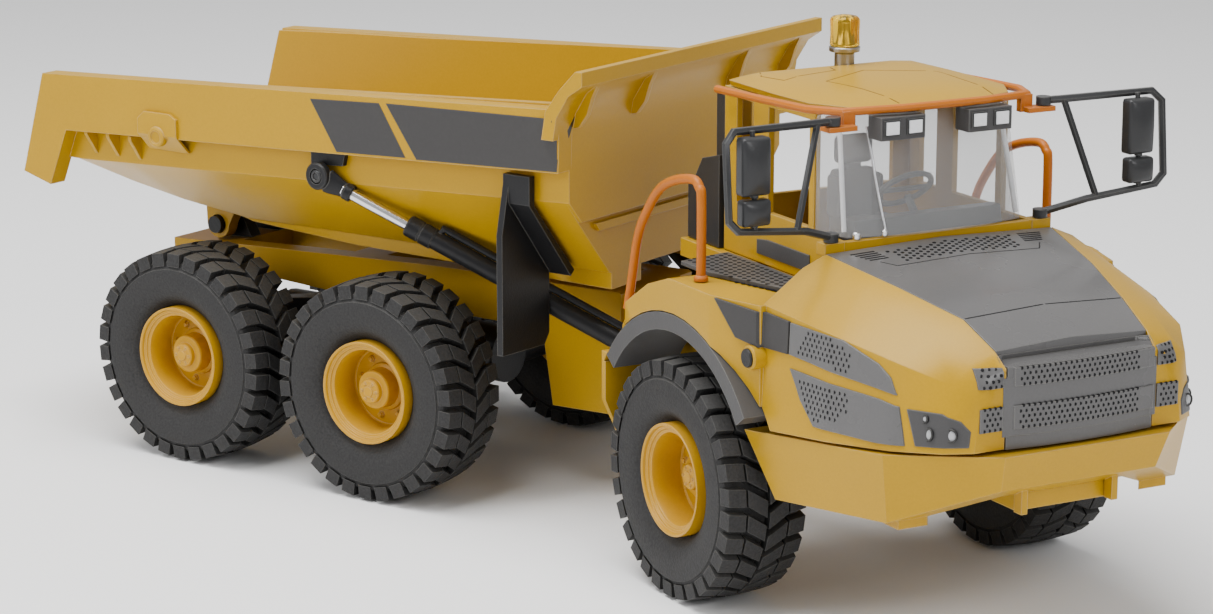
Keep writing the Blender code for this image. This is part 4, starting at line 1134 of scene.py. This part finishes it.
def square_lamps(shape, side, half, heights, depths):
    """Adds a square plate round each lamp's centre; heights and depths are low and high."""
    for centre in LAMP_CENTRES:
        low_y, high_y = sorted((side * (centre - half), side * (centre + half)))
        slab(shape, oblong(low_y, high_y, *heights), "x", *depths)


for hand, side in SIDES:
    shape = bmesh.new()
    square_lamps(shape, side, 2.7, (139.6, 144.2), (108.2, 109.0))
    piece(f"work_light_frames_{hand}", shape, CHARCOAL, TRACTOR, "tractor")
    shape = bmesh.new()
    square_lamps(shape, side, 2.1, (140.1, 143.7), (108.6, 109.3))
    piece(f"work_light_lamps_{hand}", shape, LAMP_WHITE, TRACTOR, "tractor")
print("work lamps:", len(LAMP_CENTRES) * len(SIDES))

# %% [markdown]
# **A rounded block.** Mirror housings and the seat are soft shells. A block is a box with rounded
# edges whose one face is swollen towards its middle, so the light slides over it as over a shell.

# %% A rounded block
def block(shape, low, high, radius, swell=0.0, swell_axis=0):
    """Adds a box with rounded edges; swell pushes the middle of its front out along an axis."""
    made = bmesh.new()
    bmesh.ops.create_cube(made, size=1.0)
    bmesh.ops.subdivide_edges(made, edges=made.edges[:], cuts=3, use_grid_fill=True)
    low, high = Vector(low), Vector(high)
    size = high - low
    for vert in made.verts:
        vert.co = Vector(low[i] + (vert.co[i] + 0.5) * size[i] for i in range(3))
    sharp = [edge for edge in made.edges if edge.calc_face_angle(0) > 1.0]
    bmesh.ops.bevel(made, geom=sharp, offset=radius, segments=3, profile=0.5, affect="EDGES")
    middle = (low + high) / 2
    others = [i for i in range(3) if i != swell_axis]
    for vert in made.verts:
        if swell and vert.co[swell_axis] > middle[swell_axis]:
            away = [(vert.co[i] - middle[i]) / (size[i] / 2) for i in others]
            vert.co[swell_axis] += swell * (1 - away[0] ** 2) * (1 - away[1] ** 2)
    add_to(shape, made)


print("helper: block")

# %% [markdown]
# **Mirror heads.** Seen from the front, each mirror is a pair of glossy dark housings that bulge
# forward: a tall one above and a small one below, with a short collar under each.

# %% Mirror heads
MIRROR_X = 104.8
MIRROR_MIDDLE = 64.9
HOUSINGS = ((4.0, 8.6, 127.8, 144.0, 1.5), (4.8, 9.0, 119.4, 126.8, 1.3))
for hand, side in SIDES:
    shape = bmesh.new()
    across = sorted((side * (MIRROR_MIDDLE - 4.5), side * (MIRROR_MIDDLE + 4.5)))
    for back, front, foot, top, swell in HOUSINGS:
        block(shape, (MIRROR_X + back, across[0], foot), (MIRROR_X + front, across[1], top), 1.0, swell)
    for level in (127.2, 119.0):
        centre = (MIRROR_X + 7.0, side * MIRROR_MIDDLE, level)
        lathe(shape, [(0, 0), (1.2, 0), (1.2, 0.7), (0, 0.7)], 12, centre, "z")
    piece(f"mirror_heads_{hand}", shape, CHARCOAL, TRACTOR, f"mirror_{hand}")
print("mirror heads:", len(HOUSINGS) * len(SIDES))

# %% [markdown]
# ## Hoists
# Each hoist has a black barrel with a stepped gland and a thinner pipe beside it, and a plated rod
# that ends in a black rod eye with a steel ball. The rod and its eye move together.

# %% Hoist sizes
EYE = Vector((-122.0, 63.8, 103.9))
FOOT = Vector((-18.0, 26.5, 51.0))
HOIST_LENGTH = (EYE - FOOT).length
ROD_SHOWING = 33.5
GLAND = HOIST_LENGTH - ROD_SHOWING
BARREL_R = 3.1
ROD_R = 1.9
EYE_R = 4.4


def hoist_frame(side):
    """Where the foot and the eye of a hoist are, and the turn that lays Y from foot to eye."""
    eye = Vector((EYE.x, side * EYE.y, EYE.z))
    foot = Vector((FOOT.x, side * FOOT.y, FOOT.z))
    along = (eye - foot).normalized()
    out = along.cross(Vector((0, 0, 1))).normalized() * -side
    up = out.cross(along).normalized() * side
    up = up if up.z > 0 else -up
    return foot, eye, Matrix((out, along, up)).transposed().to_4x4()


print("hoist length between eyes in mm:", round(HOIST_LENGTH, 1))

# %% [markdown]
# **The barrel.** The tube, the groove and the lip of the gland are one turned profile. A thinner pipe
# runs along the top of the tube and bends down into it at both ends.

# %% The barrel of a hoist
PIPE_R = 1.25
BARREL = [
    (0, 3.4), (2.4, 3.4), (BARREL_R, 4.4), (BARREL_R, GLAND - 9.2), (BARREL_R + 0.4, GLAND - 9.0),
    (BARREL_R + 0.4, GLAND - 5.0), (BARREL_R + 0.15, GLAND - 4.8), (BARREL_R + 0.15, GLAND - 4.4),
    (BARREL_R + 0.4, GLAND - 4.2), (BARREL_R + 0.4, GLAND), (BARREL_R + 0.1, GLAND + 0.4),
    (2.5, GLAND + 0.5), (ROD_R + 0.15, GLAND + 0.5), (ROD_R + 0.15, 6.0), (0, 6.0),
]
PIPE = [
    (0.2, GLAND - 10.5, 2.9), (0.4, GLAND - 10.5, 4.5), (0.4, GLAND - 12.5, 4.5), (0.4, 9.0, 4.5),
    (0.2, 7.5, 3.2),
]
FOOT_DISC = [(0, -1.7), (4.2, -1.7), (4.2, 1.7), (0, 1.7)]


def add_barrel(hand, hoist):
    shape = bmesh.new()
    lathe(shape, BARREL, 40)
    rod(shape, PIPE, PIPE_R, 12)
    lathe(shape, FOOT_DISC, 32)
    shell = piece(f"hoist_barrel_shell_{hand}", shape, BLACK, hoist, f"hoist_barrel_{hand}")
    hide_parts(f"hoist_barrel_{hand}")


print("gland ends at in mm:", round(GLAND, 1))

# %% [markdown]
# **The rod and its eye.** The plated shaft ends in a black collar with a flat neck, which widens into
# the ring of the rod eye. A ball with a six-sided socket sits in the ring.

# %% The rod and its eye
COLLAR_AND_CAP = [
    (0, HOIST_LENGTH - 12.6), (2.5, HOIST_LENGTH - 12.6), (2.8, HOIST_LENGTH - 12.2),
    (2.8, HOIST_LENGTH - 10.0), (2.45, HOIST_LENGTH - 9.7), (2.3, HOIST_LENGTH - 9.4),
    (0, HOIST_LENGTH - 9.4),
]
NECK = [
    (0, HOIST_LENGTH - 9.9), (2.5, HOIST_LENGTH - 9.9), (2.9, HOIST_LENGTH - 8.0),
    (3.7, HOIST_LENGTH - 5.2), (4.0, HOIST_LENGTH - 3.4), (3.2, HOIST_LENGTH - 2.7),
    (0, HOIST_LENGTH - 2.7),
]
NECK_FLATNESS = 0.38
EYE_RING = [
    (2.5, -1.5), (EYE_R - 0.4, -1.5), (EYE_R, -1.1), (EYE_R, 1.1), (EYE_R - 0.4, 1.5), (2.5, 1.5),
    (2.5, -1.5),
]
BALL = [
    (1.2, -1.7), (1.9, -1.5), (2.45, -0.8), (2.5, 0), (2.45, 0.8), (1.9, 1.5), (1.2, 1.7), (1.2, -1.7),
]
SOCKET = [(0, -1.3), (1.15, -1.3), (1.15, 1.3), (0.7, 1.3), (0.5, 0.9), (0, 0.9)]
SHAFT_IN = 9


def add_rod(hand, foot, eye, turn, hoist):
    body = f"hoist_rod_{hand}"
    shape = bmesh.new()
    ends = (SHAFT_IN, HOIST_LENGTH - SHAFT_IN)
    lathe(shape, [(0, ends[0]), (ROD_R, ends[0]), (ROD_R, ends[1]), (0, ends[1])], 40)
    shaft = piece(f"hoist_rod_shaft_{hand}", shape, CHROME, hoist, body)
    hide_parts(f"hoist_rod_{hand}")
    shape = bmesh.new()
    lathe(shape, COLLAR_AND_CAP, 32)
    neck = bmesh.new()
    lathe(neck, NECK, 32)
    neck.transform(Matrix.Diagonal((NECK_FLATNESS, 1, 1, 1)))
    add_to(shape, neck)
    shape.transform(Matrix.Translation(foot) @ turn)
    lathe(shape, EYE_RING, 40, eye)
    piece(f"hoist_rod_eye_{hand}", shape, BLACK, LOAD, body)
    shape = bmesh.new()
    lathe(shape, BALL, 32, eye)
    lathe(shape, SOCKET, 6, eye)
    piece(f"hoist_rod_ball_{hand}", shape, CHARCOAL, LOAD, body)


for hand, side in SIDES:
    foot, eye, turn = hoist_frame(side)
    hoist = LOAD @ Matrix.Translation(foot) @ turn
    add_barrel(hand, hoist)
    add_rod(hand, foot, eye, turn, hoist)
print("hoists:", len(SIDES))

# %% [markdown]
# ## Beacon
# The amber lens is ribbed from top to bottom, as a real lamp's is to spread the light. A turned dome
# gets a gentle wave round it, which leaves its top and its foot plain.

# %% Beacon lens
BEACON = (46.6, 4.7)
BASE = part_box("beacon")[0].z / MM
RIBS = 14
RIB_DEPTH = 0.035
DOME = [
    (0, 5.0), (3.9, 5.0), (4.35, 5.2), (4.2, 8.0), (4.35, 12.6), (4.1, 13.3), (3.6, 13.8), (1.6, 14.2),
    (0, 14.3),
]


def above_base(profile):
    """The same profile with its heights counted from the foot of the beacon."""
    return [(radius, BASE + height) for radius, height in profile]


shape = bmesh.new()
lathe(shape, above_base(DOME), RIBS * 8, (0, 0, 0), "z")
for vert in shape.verts:
    if BASE + 5.1 < vert.co.z < BASE + 13.5:
        ripple = 1 + RIB_DEPTH * math.cos(RIBS * math.atan2(vert.co.y, vert.co.x))
        vert.co.x *= ripple
        vert.co.y *= ripple
shape.transform(Matrix.Translation((*BEACON, 0)))
lens_piece = piece("beacon_lens", shape, AMBER, TRACTOR, "tractor")
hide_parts("beacon")
print("beacon ribs:", RIBS)

# %% [markdown]
# **Post and core.** The lens stands on a grey post with a flange. The post reaches a little below the
# crown of the roof, and a cone inside the lens stands for the mirror that turns in the real lamp.

# %% Beacon post and core
POST = [(0, -1.4), (3.0, -1.4), (3.0, 2.8), (4.6, 3.4), (4.7, 4.6), (4.3, 4.9), (0, 4.9)]
CORE = [(0, 5.4), (2.6, 5.4), (2.2, 7.0), (1.5, 9.5), (1.5, 12.0), (0, 12.4)]
shape = bmesh.new()
lathe(shape, above_base(POST), 40, (*BEACON, 0), "z")
piece("beacon_post", shape, STEEL, TRACTOR, "tractor")
shape = bmesh.new()
lathe(shape, above_base(CORE), 24, (*BEACON, 0), "z")
piece("beacon_core", shape, STEEL, TRACTOR, "tractor")
print("beacon height in mm:", round(DOME[-1][1] - POST[0][1], 1))

# %% [markdown]
# ## Inside the cab
# The seat is a moulded shell with a padded back, side bolsters and a headrest on a narrower neck.

# %% Seat
shape = bmesh.new()
block(shape, (57.2, -7.0, 98.0), (61.5, 7.0, 120.5), 1.4, 1.0)
block(shape, (57.6, -6.0, 122.2), (61.8, 6.0, 130.6), 1.7, 1.0)
block(shape, (58.2, -2.6, 119.5), (60.6, 2.6, 123.5), 0.8)
block(shape, (58.0, -6.5, 101.0), (79.5, 6.5, 106.0), 1.5, 0.8, 2)
for side in (-1, 1):
    low_y, high_y = sorted((side * 5.6, side * 8.0))
    block(shape, (57.6, low_y, 106.5), (64.8, high_y, 119.0), 1.1)
    block(shape, (61.0, low_y, 103.0), (78.0, high_y, 107.6), 1.0)
seat = piece("seat_moulding", shape, SEAT_GREY, TRACTOR, "tractor")
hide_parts("seat")
print("seat corners:", len(seat.data.vertices))

# %% [markdown]
# ** Roof and sill.** Fine grooves part the roof into panels, as thin strips whose dark colour is painted
# shade, and a dark step lies in the cab's side.

# %% Roof grooves and cab sill
roof_skin = skin_of(TRACTOR, "cab_roof")
shape = bmesh.new()
FRONT_GROOVE = [(102, -12), (71.6, -17.2), (60.3, 2.6), (71.6, 21.2), (101, 20.7)]
REAR_GROOVE = [(45, -23.6), (51.5, -27), (61.7, -25.4), (56.4, -4.6), (51.8, -3.5)]
for groove in (FRONT_GROOVE, REAR_GROOVE):
    seam(shape, roof_skin, "top", groove, 1, 0.4, 0.03)
piece("roof_grooves", shape, GROOVE_SHADE, TRACTOR, "tractor")
cab_skin = skin_of(TRACTOR, "cab_shell")
SILL_STEP = [(60.6, 98.4), (90.0, 98.4), (89.6, 103.4), (66.5, 103.4), (60.6, 102.6)]
for hand, side in SIDES:
    shape = bmesh.new()
    panel(shape, cab_skin, "side", SILL_STEP, side, thick=0.4, step=5.0)
    piece(f"cab_step_{hand}", shape, TRIM_GREY, TRACTOR, "tractor")
print("roof grooves and cab steps are in place")

# %% [markdown]
# **Ledge and gussets.** A narrow ledge runs across the front wall of the tipping body, and three small
# gussets under each rim hold the tail.

# %% Ledge and gussets
shape = bmesh.new()
panel(shape, body_skin, "front", [(-43, 94.2), (43, 94.2), (45, 96.8), (-45, 96.8)], -1, 1.3, 6.0)
piece("front_wall_ledge", shape, YELLOW, LOAD, "tipping_body")
GUSSET = ((59.0, 107.9), (64.4, 107.9), (64.4, 106.6), (59.6, 99.4), (59.0, 99.4))
GUSSET_THICK = 1.2
shape = bmesh.new()
for side in (-1, 1):
    for x in (-224.0, -214.0, -204.0):
        slab(shape, [(side * y, z) for y, z in GUSSET], "x", x, x + GUSSET_THICK)
piece("tail_gussets", shape, YELLOW, LOAD, "tipping_body")
print("ledge and tail gussets are in place")

# %% [markdown]
# ## Floor, light and camera
# The truck stands on a plain pale floor, so wide that its edge is never seen. It is matt, and it
# belongs to the stage and not to the truck.

# %% Floor
FLOOR_REACH = 30.0
floor_finish = bpy.data.materials.new("studio_floor")
floor_finish.use_nodes = True
floor_shader = floor_finish.node_tree.nodes["Principled BSDF"]
floor_shader.inputs["Base Color"].default_value = (0.9, 0.9, 0.9, 1)
floor_shader.inputs["Roughness"].default_value = 0.8
shape = bmesh.new()
bmesh.ops.create_grid(shape, x_segments=1, y_segments=1, size=FLOOR_REACH)
floor_mesh = bpy.data.meshes.new("floor")
shape.to_mesh(floor_mesh)
shape.free()
floor_mesh.materials.append(floor_finish)
floor = bpy.data.objects.new("floor", floor_mesh)
bpy.context.scene.collection.objects.link(floor)
floor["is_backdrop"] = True
print("floor is ready")

# %% [markdown]
# **Soft light.** A large lamp above gives the main light, one ahead of the nose lights the front, and
# one at the side lifts the shadows. White surroundings give the panels something to mirror.

# %% Soft light
SURROUND_STRENGTH = 0.55
LIGHTS = {
    "top_light": ((-0.1, -0.25, 1.2), (0, 0, 0.05), 0.9, 26.0),
    "front_light": ((1.3, -0.5, 0.8), (0.05, 0, 0.08), 0.6, 7.0),
    "side_light": ((-0.7, -1.3, 0.75), (-0.05, 0, 0.1), 0.6, 9.0),
}
for name, (spot, aim, size, watts) in LIGHTS.items():
    lamp = bpy.data.lights.new(name, "AREA")
    lamp.size = size
    lamp.energy = watts
    holder = bpy.data.objects.new(name, lamp)
    holder.location = spot
    holder.rotation_euler = (Vector(aim) - Vector(spot)).to_track_quat("-Z", "Y").to_euler()
    bpy.context.scene.collection.objects.link(holder)
surround = bpy.data.worlds.new("white_studio")
surround.use_nodes = True
surround.node_tree.nodes["Background"].inputs["Color"].default_value = (1, 1, 1, 1)
surround.node_tree.nodes["Background"].inputs["Strength"].default_value = SURROUND_STRENGTH
bpy.context.scene.world = surround
print("lights:", len(LIGHTS), "and white surroundings")

# %% [markdown]
# **Camera.** A long lens stands about a metre away, ahead of the truck, on its right and a little
# above. Its back is turned along one line, which is simpler to keep than three angles.

# %% Camera
CAMERA_SPOT = (0.58436, -0.81825, 0.3071)
CAMERA_BACK = Vector((0.5623, -0.7930, 0.2346))
lens = bpy.data.cameras.new("camera")
lens.lens = 96.86
lens.sensor_width = 36.0
lens.clip_start = 0.05
lens.clip_end = 60.0
camera = bpy.data.objects.new("camera", lens)
camera.location = CAMERA_SPOT
camera.rotation_euler = CAMERA_BACK.to_track_quat("Z", "Y").to_euler()
bpy.context.scene.collection.objects.link(camera)
bpy.context.scene.camera = camera
print("camera distance in m:", round(camera.location.length, 3))

# %% [markdown]
# ## Size and finish
# The added pieces must not reach past the box of the solids, so the size of the box round
# everything that is shown is printed.

# %% Size and finish
low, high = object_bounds()
print("visual size in mm:", [round(v * 1000, 1) for v in high - low])
